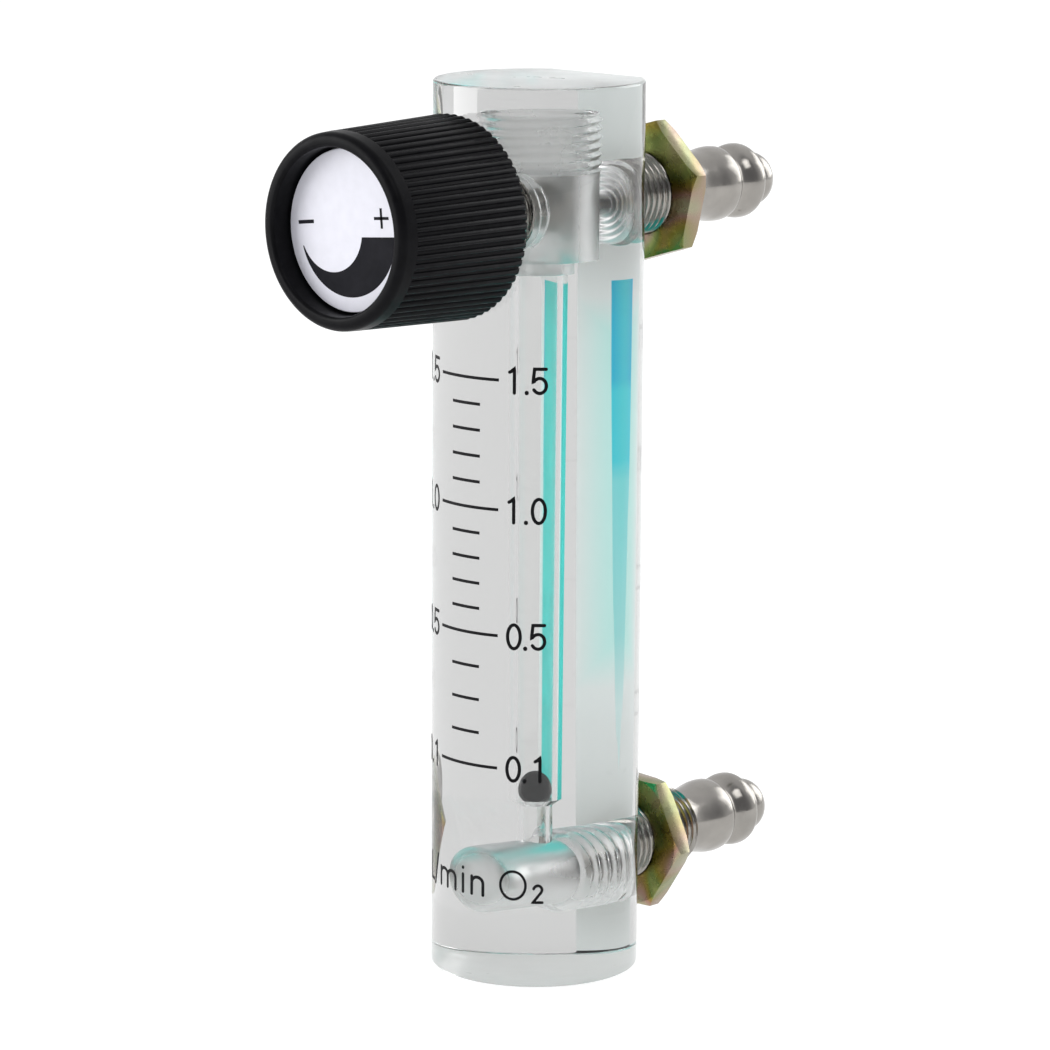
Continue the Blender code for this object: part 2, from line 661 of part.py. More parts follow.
def knob(material, axis):
    """Hollow ribbed knob with a smooth rounded rim, a web, and a hub with a flat in its bore."""
    rib_end = KNOB_FRONT - KNOB_SMOOTH_BAND
    rim_inner = DISC_DIAMETER / 2 + FIT_GAP
    rim_outer = knob_radius(KNOB_FRONT)
    web_back = DISC_SEAT - KNOB_WEB_THICKNESS
    hollow_back = KNOB_BACK_DIAMETER / 2 - KNOB_RIB_DEPTH - KNOB_BACK_WALL
    hollow_front = min(hollow_back, rim_inner)
    hub = HUB_DIAMETER / 2
    shaft_hole = SHAFT_DIAMETER / 2 + FIT_GAP
    flat = SHAFT_FLAT_OFFSET + FIT_GAP
    pocket = WASHER_DIAMETER / 2 + FIT_GAP
    screw_hole = SCREW_DIAMETER / 2 + FIT_GAP
    bm = bmesh.new()
    ribbed = [ribbed_ring(bm, KNOB_BACK_OFFSET), ribbed_ring(bm, rib_end)]
    front = [(rib_end + KNOB_RIB_DEPTH, knob_radius(rib_end))]
    front += [(KNOB_FRONT - KNOB_RIM_ROUND + dx, rim_outer - KNOB_RIM_ROUND + dr)
              for dx, dr in arc((0, 0), KNOB_RIM_ROUND, 90, 0)]
    front += [(KNOB_FRONT - KNOB_RIM_ROUND + dx, rim_inner + KNOB_RIM_ROUND + dr)
              for dx, dr in arc((0, 0), KNOB_RIM_ROUND, 0, -90)]
    inside = [
        (DISC_SEAT, rim_inner),
        (DISC_SEAT, pocket),
        (HUB_WALL_TOP, pocket),
        (HUB_WALL_TOP, screw_hole),
        (HUB_WALL_FOOT, screw_hole),
    ]
    back = [
        (HUB_FOOT, hub),
        (web_back, hub),
        (web_back, hollow_front),
        (KNOB_BACK_OFFSET, hollow_back),
    ]
    rings = [plain_ring(bm, along, radius) for along, radius in front + inside]
    rings += [plain_ring(bm, HUB_WALL_FOOT, shaft_hole, flat), plain_ring(bm, HUB_FOOT, shaft_hole, flat)]
    rings += [plain_ring(bm, along, radius) for along, radius in back]
    bridge(bm, *ribbed)
    join_to_ribs(bm, rings[0], ribbed[1])
    for lower, upper in zip(rings, rings[1:]):
        bridge(bm, lower, upper)
    join_to_ribs(bm, rings[-1], ribbed[0])
    return finish("knob", bm, material, axis)


def knob_disc(material, axis):
    """Flat marked disc that covers the screw."""
    radius = DISC_DIAMETER / 2
    profile = [
        (DISC_FACE - DISC_THICKNESS, 0.0),
        (DISC_FACE - DISC_THICKNESS, radius),
        (DISC_FACE, radius),
        (DISC_FACE, 0.0),
    ]
    return turned("knob_disc", profile, material, axis)


def knob_washer(material, axis):
    """Washer between the screw's head and the hub."""
    inner = SCREW_DIAMETER / 2 + FIT_GAP
    top = WASHER_FOOT + WASHER_THICKNESS
    outer = WASHER_DIAMETER / 2
    profile = [(WASHER_FOOT, inner), (WASHER_FOOT, outer), (top, outer), (top, inner)]
    return turned("knob_washer", profile, material, axis)


def knob_screw(material, axis):
    """Slotted screw that holds the knob on the spindle."""
    head = SCREW_HEAD_DIAMETER / 2
    shank = SCREW_DIAMETER / 2
    top = SCREW_HEAD_FOOT + SCREW_HEAD_HEIGHT
    end = SCREW_HEAD_FOOT - SCREW_LENGTH
    profile = [
        (end, 0.0),
        (end, shank),
        (SCREW_HEAD_FOOT, shank),
        (SCREW_HEAD_FOOT, head),
        (top - 0.5 * SCREW_HEAD_HEIGHT, head),
        (top, 0.75 * head),
        (top, 0.0),
    ]
    screw = turned("knob_screw", profile, material, axis)
    bm = bmesh.new()
    size = Vector((2 * SCREW_HEAD_DIAMETER, SCREW_SLOT_WIDTH, SCREW_SLOT_DEPTH + CUT_OVERSHOOT))
    centre = Vector((0, 0, top - SCREW_SLOT_DEPTH + size.z / 2))
    bmesh.ops.create_cube(bm, size=1.0, matrix=Matrix.Translation(centre) @ Matrix.Diagonal((*size, 1.0)))
    boolean(screw, finish("cut_screw_slot", bm, None, axis))
    return screw


def main():
    """Build the flowmeter."""
    clear_scene()
    acrylic = plastic("clear_acrylic", (0.93, 0.96, 0.96), 0.03, transmission=1.0)
    ball_ceramic = plastic("black_ball", (0.012, 0.012, 0.014), 0.12)
    nickel = metal("nickel_plate", (0.74, 0.71, 0.68), 0.16)
    yellow_zinc = metal("yellow_zinc", (0.62, 0.56, 0.30), 0.30)
    brass = metal("bare_brass", (0.78, 0.58, 0.30), 0.25)
    steel = metal("screw_steel", (0.60, 0.60, 0.62), 0.30)
    rubber = plastic("black_rubber", (0.02, 0.02, 0.02), 0.55)
    nylon = plastic("white_nylon", (0.85, 0.85, 0.82), 0.45)
    knob_black = plastic("knob_black", (0.014, 0.014, 0.016), 0.38)
    disc_white = plastic("disc_white", (0.86, 0.86, 0.92), 0.35)

    valve_axis = axis_empty("valve_axis", OUTLET_HEIGHT, FORWARD)
    outlet_axis = axis_empty("outlet_axis", OUTLET_HEIGHT, BACKWARD)
    inlet_axis = axis_empty("inlet_axis", INLET_HEIGHT, BACKWARD)

    cutters = [vertical_passage(), inlet_port(inlet_axis), outlet_port(outlet_axis), valve_port(valve_axis)]
    body_block(acrylic, cutters)
    top_plug(acrylic)
    float_stop(acrylic)
    float_ball(ball_ceramic)

    fitting("inlet_fitting", INLET_STEM_INSET, nickel, inlet_axis)
    fitting("outlet_fitting", OUTLET_STEM_INSET, nickel, outlet_axis)
    chamfered_nut("inlet_nut", INLET_NUT_DISTANCE, INLET_NUT_TURN, yellow_zinc, inlet_axis)
    chamfered_nut("outlet_nut", OUTLET_NUT_DISTANCE, OUTLET_NUT_TURN, yellow_zinc, outlet_axis)

    groove_centre = FRONT_FACE_OFFSET - BUSH_RING_GROOVE_WIDTH / 2 + FIT_GAP / 4
    valve_bush(nickel, valve_axis)
    ring("bush_o_ring", STEM_RADIUS + 0.6 * FIT_GAP, BUSH_RING_SECTION, groove_centre, rubber, valve_axis)
    chamber_floor = BUSH_NECK_TOP - PACKING_CHAMBER_DEPTH
    shaft_ring_centre = chamber_floor + FIT_GAP + SHAFT_RING_SECTION / 2
    ring("spindle_o_ring", SHAFT_DIAMETER / 2 + 0.6 * FIT_GAP, SHAFT_RING_SECTION, shaft_ring_centre, rubber,
         valve_axis)
    gland_washer(nylon, valve_axis)
    gland_nut(nickel, valve_axis)
    valve_needle(brass, valve_axis)
    valve_spindle(nickel, valve_axis)

    knob(knob_black, valve_axis)
    knob_disc(disc_white, valve_axis)
    knob_washer(steel, valve_axis)
    knob_screw(steel, valve_axis)


main()
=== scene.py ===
"""Finished look of a clear oxygen flowmeter, laid out as an add-on and run as a script.

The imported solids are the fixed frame. Each operator makes one piece, or one group
of like pieces, around them. All lengths are in metres, with +Z up and the knob at -Y.
"""
import math

import bmesh
import bpy
from bpy.props import FloatProperty, FloatVectorProperty, IntProperty, PointerProperty
from bpy.types import Operator, Panel, PropertyGroup
from mathutils import Matrix, Vector


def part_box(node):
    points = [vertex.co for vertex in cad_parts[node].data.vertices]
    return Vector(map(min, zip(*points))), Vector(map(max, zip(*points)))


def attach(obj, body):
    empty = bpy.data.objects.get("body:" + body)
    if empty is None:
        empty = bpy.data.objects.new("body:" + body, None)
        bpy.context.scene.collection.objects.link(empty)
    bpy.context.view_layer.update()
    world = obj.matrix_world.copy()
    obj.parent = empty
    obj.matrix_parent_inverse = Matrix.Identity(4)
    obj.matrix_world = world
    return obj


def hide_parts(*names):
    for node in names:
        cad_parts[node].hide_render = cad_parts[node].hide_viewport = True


bl_info = {
    "name": "Oxygen Flowmeter Finish",
    "version": (1, 0, 0),
    "blender": (4, 5, 0),
    "location": "View3D > Sidebar > Flowmeter",
    "description": "Clear body, scale, valve, knob and hose fittings of a small oxygen flowmeter",
    "category": "Object",
}

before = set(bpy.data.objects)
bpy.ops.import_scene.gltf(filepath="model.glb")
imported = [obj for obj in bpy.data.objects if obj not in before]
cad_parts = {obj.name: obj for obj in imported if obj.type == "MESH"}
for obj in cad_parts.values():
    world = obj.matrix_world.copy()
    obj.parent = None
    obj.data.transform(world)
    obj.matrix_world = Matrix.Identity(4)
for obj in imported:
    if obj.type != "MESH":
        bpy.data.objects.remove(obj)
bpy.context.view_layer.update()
PACKED_FINISHES = set(bpy.data.materials.keys())

MM = 0.001

# Steps of round shapes
BAR_STEPS = 240
ROUND_STEPS = 96
RINGS_PER_PITCH = 12
SHARP_ANGLE = math.radians(29.0)
CUT_OVERSHOOT = 1.0 * MM

# Slots of the bar's finishes, on its outside and in its passages
MILLED, PAINTED, FOOT, TOP = range(1, 5)
DRILLED, REAMED, TAPPED, CEMENTED = range(4)

# Directions of the horizontal axes, as turns about X from local +Z
UPRIGHT = Matrix.Identity(4)
FORWARD_TURN = Matrix.Rotation(math.radians(90.0), 4, "X")
BACKWARD_TURN = Matrix.Rotation(math.radians(-90.0), 4, "X")

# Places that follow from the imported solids
BODY_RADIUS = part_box("body_block")[1].x
BACK_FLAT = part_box("body_block")[1].y
BODY_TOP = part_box("body_block")[1].z
PLUG_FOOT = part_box("top_plug")[0].z
STOP_FOOT, STOP_TOP = (corner.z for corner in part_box("float_stop"))
BALL_RADIUS = (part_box("float_ball")[1].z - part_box("float_ball")[0].z) / 2
BALL_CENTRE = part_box("float_ball")[0].z + BALL_RADIUS
INLET_HEIGHT = (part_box("inlet_fitting")[0].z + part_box("inlet_fitting")[1].z) / 2
OUTLET_HEIGHT = (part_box("outlet_fitting")[0].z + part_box("outlet_fitting")[1].z) / 2
VALVE_AXIS = Matrix.Translation((0, 0, OUTLET_HEIGHT)) @ FORWARD_TURN
OUTLET_AXIS = Matrix.Translation((0, 0, OUTLET_HEIGHT)) @ BACKWARD_TURN
INLET_AXIS = Matrix.Translation((0, 0, INLET_HEIGHT)) @ BACKWARD_TURN
KNOB_BACK = -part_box("knob")[1].y
KNOB_FRONT = -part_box("knob")[0].y
DISC_FACE = -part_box("knob_disc")[0].y


def length(name, description, default):
    """A property that holds a length in metres."""
    return FloatProperty(name=name, description=description, default=default, unit="LENGTH", precision=5)


def share(name, description, default):
    """A property between nought and one."""
    return FloatProperty(name=name, description=description, default=default, min=0, max=1, subtype="FACTOR")


def angle(name, description, degrees):
    """A property that holds an angle."""
    return FloatProperty(name=name, description=description, default=math.radians(degrees), unit="ROTATION",
                         subtype="ANGLE")


def color(name, description, default):
    """A property that holds a colour."""
    return FloatVectorProperty(name=name, description=description, default=default, size=3, min=0, max=1,
                               subtype="COLOR")


class BodySettings(PropertyGroup):
    """Sizes and finish of the clear bar and its passages."""

    edge_round: length("Edge Round", "Radius of the polished edges at both ends", 0.35 * MM)
    thread_pitch: length("Thread Pitch", "Pitch of the ports and their stems", 1.0 * MM)
    thread_crest: length("Thread Crest", "Radius at the bottom of the ports' thread", 4.98 * MM)
    thread_root: length("Thread Root", "Radius at the top of the ports' thread", 4.42 * MM)
    tint: color("Tint", "Colour that the acrylic's outside lets through", (0.545, 0.547, 0.544))
    inner_tint: color("Inner Tint", "Colour that its passages let through", (0.97, 0.975, 0.97))
    drilled_roughness: share("Drilled Roughness", "Roughness of the drilled passages", 0.42)
    tapped_roughness: share("Tapped Roughness", "Roughness of the tapped threads", 0.30)
    milled_roughness: share("Milled Roughness", "Roughness of the milled flat back", 0.36)
    faced_roughness: share("Faced Roughness", "Roughness of the faced ends", 0.35)
    band_width: length("Band Width", "Width of the coloured band on the flat back", 10.9 * MM)
    band_foot: length("Band Foot", "Height at which the band starts", 18.5 * MM)
    band_top: length("Band Top", "Height at which the band ends", 82.4 * MM)
    band_color: color("Band Colour", "Paint on the flat back", (0.075, 0.80, 0.73))
    # Colour of the painted reflection along the band's sides, not of the paint itself
    band_edge_color: color("Band Edge Reflection Colour", "Painted reflection along the band's sides", (0.0, 0.54, 0.78))
    # Colour of the painted glow that the band seems to cast on the frosted flat beside it
    haze_color: color("Band Glow Colour", "Painted glow of the band on the flat back beside it", (0.50, 0.92, 0.86))
    frost_color: color("Frost Colour", "Light that the ends of the bar scatter", (0.95, 0.97, 0.96))


class ScaleSettings(PropertyGroup):
    """Print on the front of the bar."""

    ink_color: color("Ink", "Colour of the print", (0.004, 0.004, 0.005))
    ink_depth: length("Ink Depth", "How far the ink stands proud of the bar", 0.02 * MM)
    line_width: length("Line Width", "Thickness of the lines", 0.36 * MM)
    low_mark: length("Low Mark", "Height of the 0.1 line", 26.7 * MM)
    half_mark: length("Half Mark", "Height of the 0.5 line", 42.7 * MM)
    unit_mark: length("Unit Mark", "Height of the 1.0 line", 57.75 * MM)
    high_mark: length("High Mark", "Height of the 1.5 line", 73.1 * MM)
    digit_height: length("Digit Height", "Height of the numbers", 3.2 * MM)
    stroke_width: length("Stroke Width", "Thickness of the numbers' strokes", 0.40 * MM)


class MetalSettings(PropertyGroup):
    """Finish of the fittings, the nuts and the valve."""

    nickel_color: color("Nickel", "Colour of the nickel plate", (0.33, 0.315, 0.292))
    nickel_roughness: share("Nickel Roughness", "Roughness of the nickel plate", 0.16)
    # Colour of the painted sheen on the nuts' sides
    zinc_side_color: color("Zinc Side Sheen", "Painted sheen, paler, on the sides of the nuts", (0.27, 0.26, 0.19))
    zinc_roughness: share("Zinc Roughness", "Roughness of the yellow zinc", 0.27)
    brass_color: color("Brass", "Colour of the bare brass", (0.78, 0.58, 0.30))


class KnobSettings(PropertyGroup):
    """Sizes and finish of the knob and its disc."""

    rib_count: IntProperty(name="Rib Count", description="Number of ribs around the knob", default=66, min=12)
    rib_depth: length("Rib Depth", "Height of a rib over the groove beside it", 0.35 * MM)
    back_radius: length("Back Radius", "Radius over the ribs at the back", 12.0 * MM)
    front_radius: length("Front Radius", "Radius of the rim at the front", 11.3 * MM)
    smooth_band: length("Smooth Band", "Length of the smooth band at the front", 2.4 * MM)
    rim_round: length("Rim Round", "Rounding of the rim", 0.9 * MM)
    plastic_color: color("Plastic", "Colour of the knob", (0.005, 0.005, 0.006))
    plastic_roughness: share("Plastic Roughness", "Roughness of the knob", 0.34)
    disc_color: color("Disc", "Colour of the disc", (0.785, 0.785, 0.86))
    wedge_color: color("Wedge", "Colour of the marks on the disc", (0.012, 0.012, 0.016))


class StageSettings(PropertyGroup):
    """Camera, floor and studio light."""

    azimuth: angle("Azimuth", "Camera's direction around the bar", 42.874)
    elevation: angle("Elevation", "Camera's height over the horizon", 11.199)
    roll: angle("Roll", "Camera's turn about its own axis", 0.336)
    distance: length("Distance", "Camera's distance from its target", 548.9 * MM)
    target_side: length("Target Side", "Target's place along X", -1.90 * MM)
    target_height: length("Target Height", "Target's height", 53.4 * MM)
    lens: FloatProperty(name="Lens", description="Focal length in millimetres", default=157.25, min=10)
    floor_color: color("Floor", "Colour of the floor", (0.30, 0.30, 0.30))
    floor_glow: FloatProperty(name="Floor Glow", description="Light that the floor gives by itself",
                              default=0.86, min=0)
    sky_strength: FloatProperty(name="Sky Strength", description="Strength of the studio's soft light",
                                default=1.0, min=0)


class FlowmeterSettings(PropertyGroup):
    """All that can be set on the flowmeter."""

    body: PointerProperty(type=BodySettings)
    scale: PointerProperty(type=ScaleSettings)
    metal: PointerProperty(type=MetalSettings)
    knob: PointerProperty(type=KnobSettings)
    stage: PointerProperty(type=StageSettings)


def settings():
    """The settings of the current scene."""
    return bpy.context.scene.flowmeter


# Meshes

def add_object(name, mesh):
    """Object at the origin that shows a mesh."""
    item = bpy.data.objects.new(name, mesh)
    bpy.context.scene.collection.objects.link(item)
    return item


def finish_mesh(name, bm, materials):
    """Object with the faces of bm pointing outwards and shaded smooth between sharp edges."""
    bmesh.ops.recalc_face_normals(bm, faces=bm.faces)
    if bm.calc_volume(signed=True) < 0:
        bmesh.ops.reverse_faces(bm, faces=bm.faces)
    mesh = bpy.data.meshes.new(name)
    bm.to_mesh(mesh)
    bm.free()
    for material in materials:
        mesh.materials.append(material)
    item = add_object(name, mesh)
    shade(item)
    return item


def bridge(bm, lower, upper, slot=0):
    """Faces between two rings of vertices, either of which may be a single pole."""
    count = max(len(lower), len(upper))
    for step in range(count):
        following = (step + 1) % count
        if len(lower) == 1:
            face = bm.faces.new((lower[0], upper[following], upper[step]))
        elif len(upper) == 1:
            face = bm.faces.new((lower[step], lower[following], upper[0]))
        else:
            face = bm.faces.new((lower[step], lower[following], upper[following], upper[step]))
        face.material_index = slot


def turned(name, profile, materials, axis=UPRIGHT, steps=ROUND_STEPS):
    """Closed turned piece. A profile point is (along, radius) with an optional material slot.

    A radius may be a function of the angle. A profile that doesn't start on the axis is a loop.
    """
    bm = bmesh.new()
    rings = []
    slots = []
    for along, radius, *slot in profile:
        slots.append(slot[0] if slot else 0)
        if radius == 0:
            rings.append([bm.verts.new(axis @ Vector((0, 0, along)))])
            continue
        ring = []
        for step in range(steps):
            turn = math.tau * step / steps
            reach = radius(turn) if callable(radius) else radius
            ring.append(bm.verts.new(axis @ Vector((reach * math.cos(turn), reach * math.sin(turn), along))))
        rings.append(ring)
    for lower, upper, slot in zip(rings, rings[1:], slots):
        bridge(bm, lower, upper, slot)
    if len(rings[0]) > 1:
        bridge(bm, rings[-1], rings[0], slots[-1])
    return finish_mesh(name, bm, materials)


def arc(centre, radius, start, end, steps=6):
    """Points (along, radius) on an arc, with angles in degrees from the axis's direction."""
    points = []
    for step in range(steps + 1):
        turn = math.radians(start + (end - start) * step / steps)
        points.append((centre[0] + radius * math.cos(turn), centre[1] + radius * math.sin(turn)))
    return points


def smooth_outline(points, steps=6):
    """Catmull-Rom curve through the points of an outline."""
    padded = [points[0], *points, points[-1]]
    curve = []
    for before, start, end, after in zip(padded, padded[1:], padded[2:], padded[3:]):
        for step in range(steps):
            t = step / steps
            curve.append(tuple(
                0.5 * (2 * s + (e - b) * t + (2 * b - 5 * s + 4 * e - a) * t ** 2
                       + (3 * s - b - 3 * e + a) * t ** 3)
                for b, s, e, a in zip(before, start, end, after)))
    return curve + [points[-1]]


def helix(along, crest, root, pitch, limit=None):
    """Radius of a right-hand thread at a place on its axis, as a function of the angle."""
    def radius(turn):
        phase = math.tau * (along / pitch) - turn
        reach = root + (crest - root) * (0.5 + 0.5 * math.cos(phase))
        return reach if limit is None else min(reach, limit)
    return radius


def threaded(start, end, crest, root, pitch, slot=0):
    """Profile of a thread with a chamfer at each end."""
    count = max(2, round(abs(end - start) / pitch * RINGS_PER_PITCH))
    profile = []
    for step in range(count + 1):
        along = start + (end - start) * step / count
        inset = min(abs(along - start), abs(along - end))
        profile.append((along, helix(along, crest, root, pitch, root + inset), slot))
    return profile


def boolean(item, tool, operation="DIFFERENCE", transfer=False):
    """Apply an exact Boolean with a tool that is then removed."""
    modifier = item.modifiers.new(operation.lower(), "BOOLEAN")
    modifier.operation = operation
    modifier.solver = "EXACT"
    modifier.object = tool
    if transfer:
        modifier.material_mode = "TRANSFER"
    apply_modifiers(item)
    bpy.data.objects.remove(tool)


def apply_modifiers(item):
    """Turn the evaluated object into its plain mesh."""
    depsgraph = bpy.context.evaluated_depsgraph_get()
    mesh = bpy.data.meshes.new_from_object(item.evaluated_get(depsgraph))
    item.modifiers.clear()
    item.data = mesh
    mesh.name = item.name


def shade(item, sharp=SHARP_ANGLE):
    """Shade smooth between sharp edges."""
    item.data.shade_smooth()
    item.data.set_sharp_from_angle(angle=sharp)


def join(name, items):
    """One object from the meshes of several, which are removed."""
    bm = bmesh.new()
    for item in items:
        bm.from_mesh(item.data)
    material = items[0].data.materials[0]
    for item in items:
        bpy.data.objects.remove(item)
    return finish_mesh(name, bm, [material])


def dress(item, body, slot, *nodes):
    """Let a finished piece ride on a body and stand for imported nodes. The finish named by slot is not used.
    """
    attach(item, body)
    if nodes:
        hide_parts(*nodes)


# Materials

def principled(name, values):
    """Material with a Principled shader whose sockets take the given values."""
    material = bpy.data.materials.new(name)
    material.use_nodes = True
    node = material.node_tree.nodes["Principled BSDF"]
    for socket, value in values.items():
        node.inputs[socket].default_value = value
    return material, node


def rgba(rgb):
    """Colour with full alpha."""
    return (*rgb, 1.0)


def place_texture(tree, stretch, shift=(0, 0, 0)):
    """Object coordinates, stretched by a factor for each axis and shifted."""
    source = tree.nodes.new("ShaderNodeTexCoord")
    mapping = tree.nodes.new("ShaderNodeMapping")
    mapping.inputs["Scale"].default_value = stretch
    mapping.inputs["Location"].default_value = shift
    tree.links.new(source.outputs["Object"], mapping.inputs["Vector"])
    return mapping.outputs["Vector"]


def noise(tree, scale, detail=3.0, stretch=(1, 1, 1), distortion=0.0):
    """Noise over the piece, in features per metre."""
    texture = tree.nodes.new("ShaderNodeTexNoise")
    texture.inputs["Scale"].default_value = scale
    texture.inputs["Detail"].default_value = detail
    texture.inputs["Distortion"].default_value = distortion
    tree.links.new(place_texture(tree, stretch), texture.inputs["Vector"])
    return texture.outputs["Fac"]


def between(tree, value, low, high, first=0.0, last=1.0):
    """A first number at a value's low end and a last one at its high end."""
    node = tree.nodes.new("ShaderNodeMapRange")
    node.inputs["From Min"].default_value = low
    node.inputs["From Max"].default_value = high
    node.inputs["To Min"].default_value = first
    node.inputs["To Max"].default_value = last
    tree.links.new(value, node.inputs["Value"])
    return node.outputs["Result"]


def spread(tree, value, low, high):
    """Bring a noise's usual range to a range of its own."""
    return between(tree, value, 0.3, 0.7, low, high)


def set_input(tree, socket, value):
    """Give a socket a number, a colour or a link."""
    if isinstance(value, bpy.types.NodeSocket):
        tree.links.new(value, socket)
    elif isinstance(value, (int, float)):
        socket.default_value = value
    else:
        socket.default_value = rgba(value)


def calculate(tree, operation, *values):
    """Result of a calculation with sockets and numbers."""
    node = tree.nodes.new("ShaderNodeMath")
    node.operation = operation
    for socket, value in zip(node.inputs, values):
        set_input(tree, socket, value)
    return node.outputs["Value"]


def mixed(tree, part, first, second, blend="MIX"):
    """Mix of two colours."""
    node = tree.nodes.new("ShaderNodeMix")
    node.data_type = "RGBA"
    node.blend_type = blend
    for label, value in (("Factor", part), ("A", first), ("B", second)):
        set_input(tree, node.inputs[label], value)
    return node.outputs["Result"]


def coordinates(tree, kind="Object"):
    """X, Y and Z of a kind of texture coordinate."""
    source = tree.nodes.new("ShaderNodeTexCoord")
    split = tree.nodes.new("ShaderNodeSeparateXYZ")
    tree.links.new(source.outputs[kind], split.inputs["Vector"])
    return split.outputs


def add_bump(tree, node, height, depth):
    """Bump of a real depth from a height between nought and one."""
    bump = tree.nodes.new("ShaderNodeBump")
    bump.inputs["Strength"].default_value = 1.0
    bump.inputs["Distance"].default_value = depth
    tree.links.new(height, bump.inputs["Height"])
    tree.links.new(bump.outputs["Normal"], node.inputs["Normal"])


def ramp(tree, value, stops):
    """Colours along a value."""
    node = tree.nodes.new("ShaderNodeValToRGB")
    elements = node.color_ramp.elements
    elements[0].position, elements[0].color = stops[0][0], rgba(stops[0][1])
    elements[1].position, elements[1].color = stops[-1][0], rgba(stops[-1][1])
    for position, rgb in stops[1:-1]:
        elements.new(position).color = rgba(rgb)
    tree.links.new(value, node.inputs["Fac"])
    return node.outputs["Color"]


def shaded(tree, value, rgb, low, high):
    """A colour that a noise makes a little darker or lighter."""
    dark = tuple(part * low for part in rgb)
    light = tuple(min(1.0, part * high) for part in rgb)
    return ramp(tree, value, [(0.3, dark), (0.7, light)])


def waves(tree, scale, axis, distortion=1.0, kind="BANDS", centre=(0, 0, 0)):
    """Tool marks that repeat along an axis, or as rings around it."""
    texture = tree.nodes.new("ShaderNodeTexWave")
    texture.wave_type = kind
    texture.bands_direction = axis
    texture.rings_direction = axis
    texture.inputs["Scale"].default_value = scale
    texture.inputs["Distortion"].default_value = distortion
    texture.inputs["Detail"].default_value = 2.0
    tree.links.new(place_texture(tree, (1, 1, 1), centre), texture.inputs["Vector"])
    return texture.outputs["Fac"]


def let_light_through(tree, node, color, part):
    """Mix in a translucent shader of a colour, which is a socket or a plain colour."""
    through = tree.nodes.new("ShaderNodeBsdfTranslucent")
    set_input(tree, through.inputs["Color"], color)
    both = tree.nodes.new("ShaderNodeMixShader")
    both.inputs["Fac"].default_value = part
    tree.links.new(node.outputs["BSDF"], both.inputs[1])
    tree.links.new(through.outputs["BSDF"], both.inputs[2])
    tree.links.new(both.outputs["Shader"], tree.nodes["Material Output"].inputs["Surface"])


def distance_aside(tree):
    """Distance from the bar's middle plane, and the height, over the piece."""
    place = coordinates(tree)
    return calculate(tree, "ABSOLUTE", place["X"]), place["Z"]


def clear_acrylic(name, tint, roughness, scale, depth, stretch=(1, 1, 1), clearness=1.0):
    """Clear acrylic with a roughness that varies and a faint relief."""
    material, node = principled(name, {
        "Base Color": rgba(tint), "Transmission Weight": clearness, "IOR": 1.49, "Roughness": roughness})
    tree = material.node_tree
    tree.links.new(spread(tree, noise(tree, 300.0), 0.75 * roughness, 1.25 * roughness),
                   node.inputs["Roughness"])
    add_bump(tree, node, noise(tree, scale, 2.0, stretch), depth)
    return material, node


def polished_acrylic():
    """Outside of the bar, with faint streaks along its length."""
    return clear_acrylic("polished_acrylic", settings().body.tint, 0.012, 500.0, 0.002 * MM, (1, 1, 0.03))[0]


def drilled_acrylic():
    """Satin surface that a drill leaves."""
    body = settings().body
    return clear_acrylic("drilled_acrylic", body.inner_tint, body.drilled_roughness, 2500.0, 0.008 * MM,
                         clearness=0.94)[0]


def tapped_acrylic():
    """Torn surface that a tap leaves."""
    body = settings().body
    return clear_acrylic("tapped_acrylic", body.inner_tint, body.tapped_roughness, 1500.0, 0.006 * MM,
                         clearness=0.94)[0]


def cemented_acrylic():
    """Cement in the plug's thread, which bends the light less than air would."""
    body = settings().body
    material, node = clear_acrylic("cemented_acrylic", body.inner_tint, body.tapped_roughness, 1500.0,
                                   0.006 * MM, clearness=0.92)
    node.inputs["IOR"].default_value = 1.20
    return material


def reamed_acrylic():
    """Fine surface of the tapered bore."""
    return clear_acrylic("reamed_acrylic", settings().body.inner_tint, 0.05, 1200.0, 0.002 * MM)[0]


def faced(name, part):
    """End of the bar, with the rings that facing leaves, letting a part of the light behind it through."""
    body = settings().body
    material, node = clear_acrylic(name, body.inner_tint, body.faced_roughness, 900.0, 0.003 * MM,
                                   clearness=0.58)
    tree = material.node_tree
    add_bump(tree, node, waves(tree, 260.0, "Z", 1.0, "RINGS"), 0.002 * MM)
    let_light_through(tree, node, body.frost_color, part)
    return material


def foot_acrylic():
    """Foot of the bar."""
    return faced("foot_acrylic", 0.60)


def top_acrylic():
    """Top of the bar and its plug."""
    return faced("top_acrylic", 0.12)


def milled_acrylic():
    """Flat back, with the arcs that a fly cutter leaves, and a painted teal glow of the band beside it."""
    body = settings().body
    half_band = body.band_width / 2
    glow_width = 4.0 * MM
    foot_fade = (38.0 * MM, 26.0 * MM)
    top_fade = (76.0 * MM, 86.0 * MM)
    material, node = clear_acrylic("milled_acrylic", body.inner_tint, body.milled_roughness, 900.0,
                                   0.004 * MM, (0.2, 1, 1), 0.60)
    tree = material.node_tree
    add_bump(tree, node, waves(tree, 190.0, "Y", 1.5, "RINGS", (-0.016, 0, -0.020)), 0.012 * MM)
    # Painted glow: the light that the flat lets through turns teal beside the band, and fades away from it
    # and towards its ends
    aside, height = distance_aside(tree)
    far = between(tree, aside, half_band, half_band + glow_width)
    for start, end in (foot_fade, top_fade):
        far = calculate(tree, "MAXIMUM", far, between(tree, height, start, end))
    painted_glow = ramp(tree, far, [(0.0, body.haze_color), (0.45, (0.80, 0.88, 0.865)), (1.0, (0.78, 0.84, 0.83))])
    let_light_through(tree, node, painted_glow, 0.72)
    return material


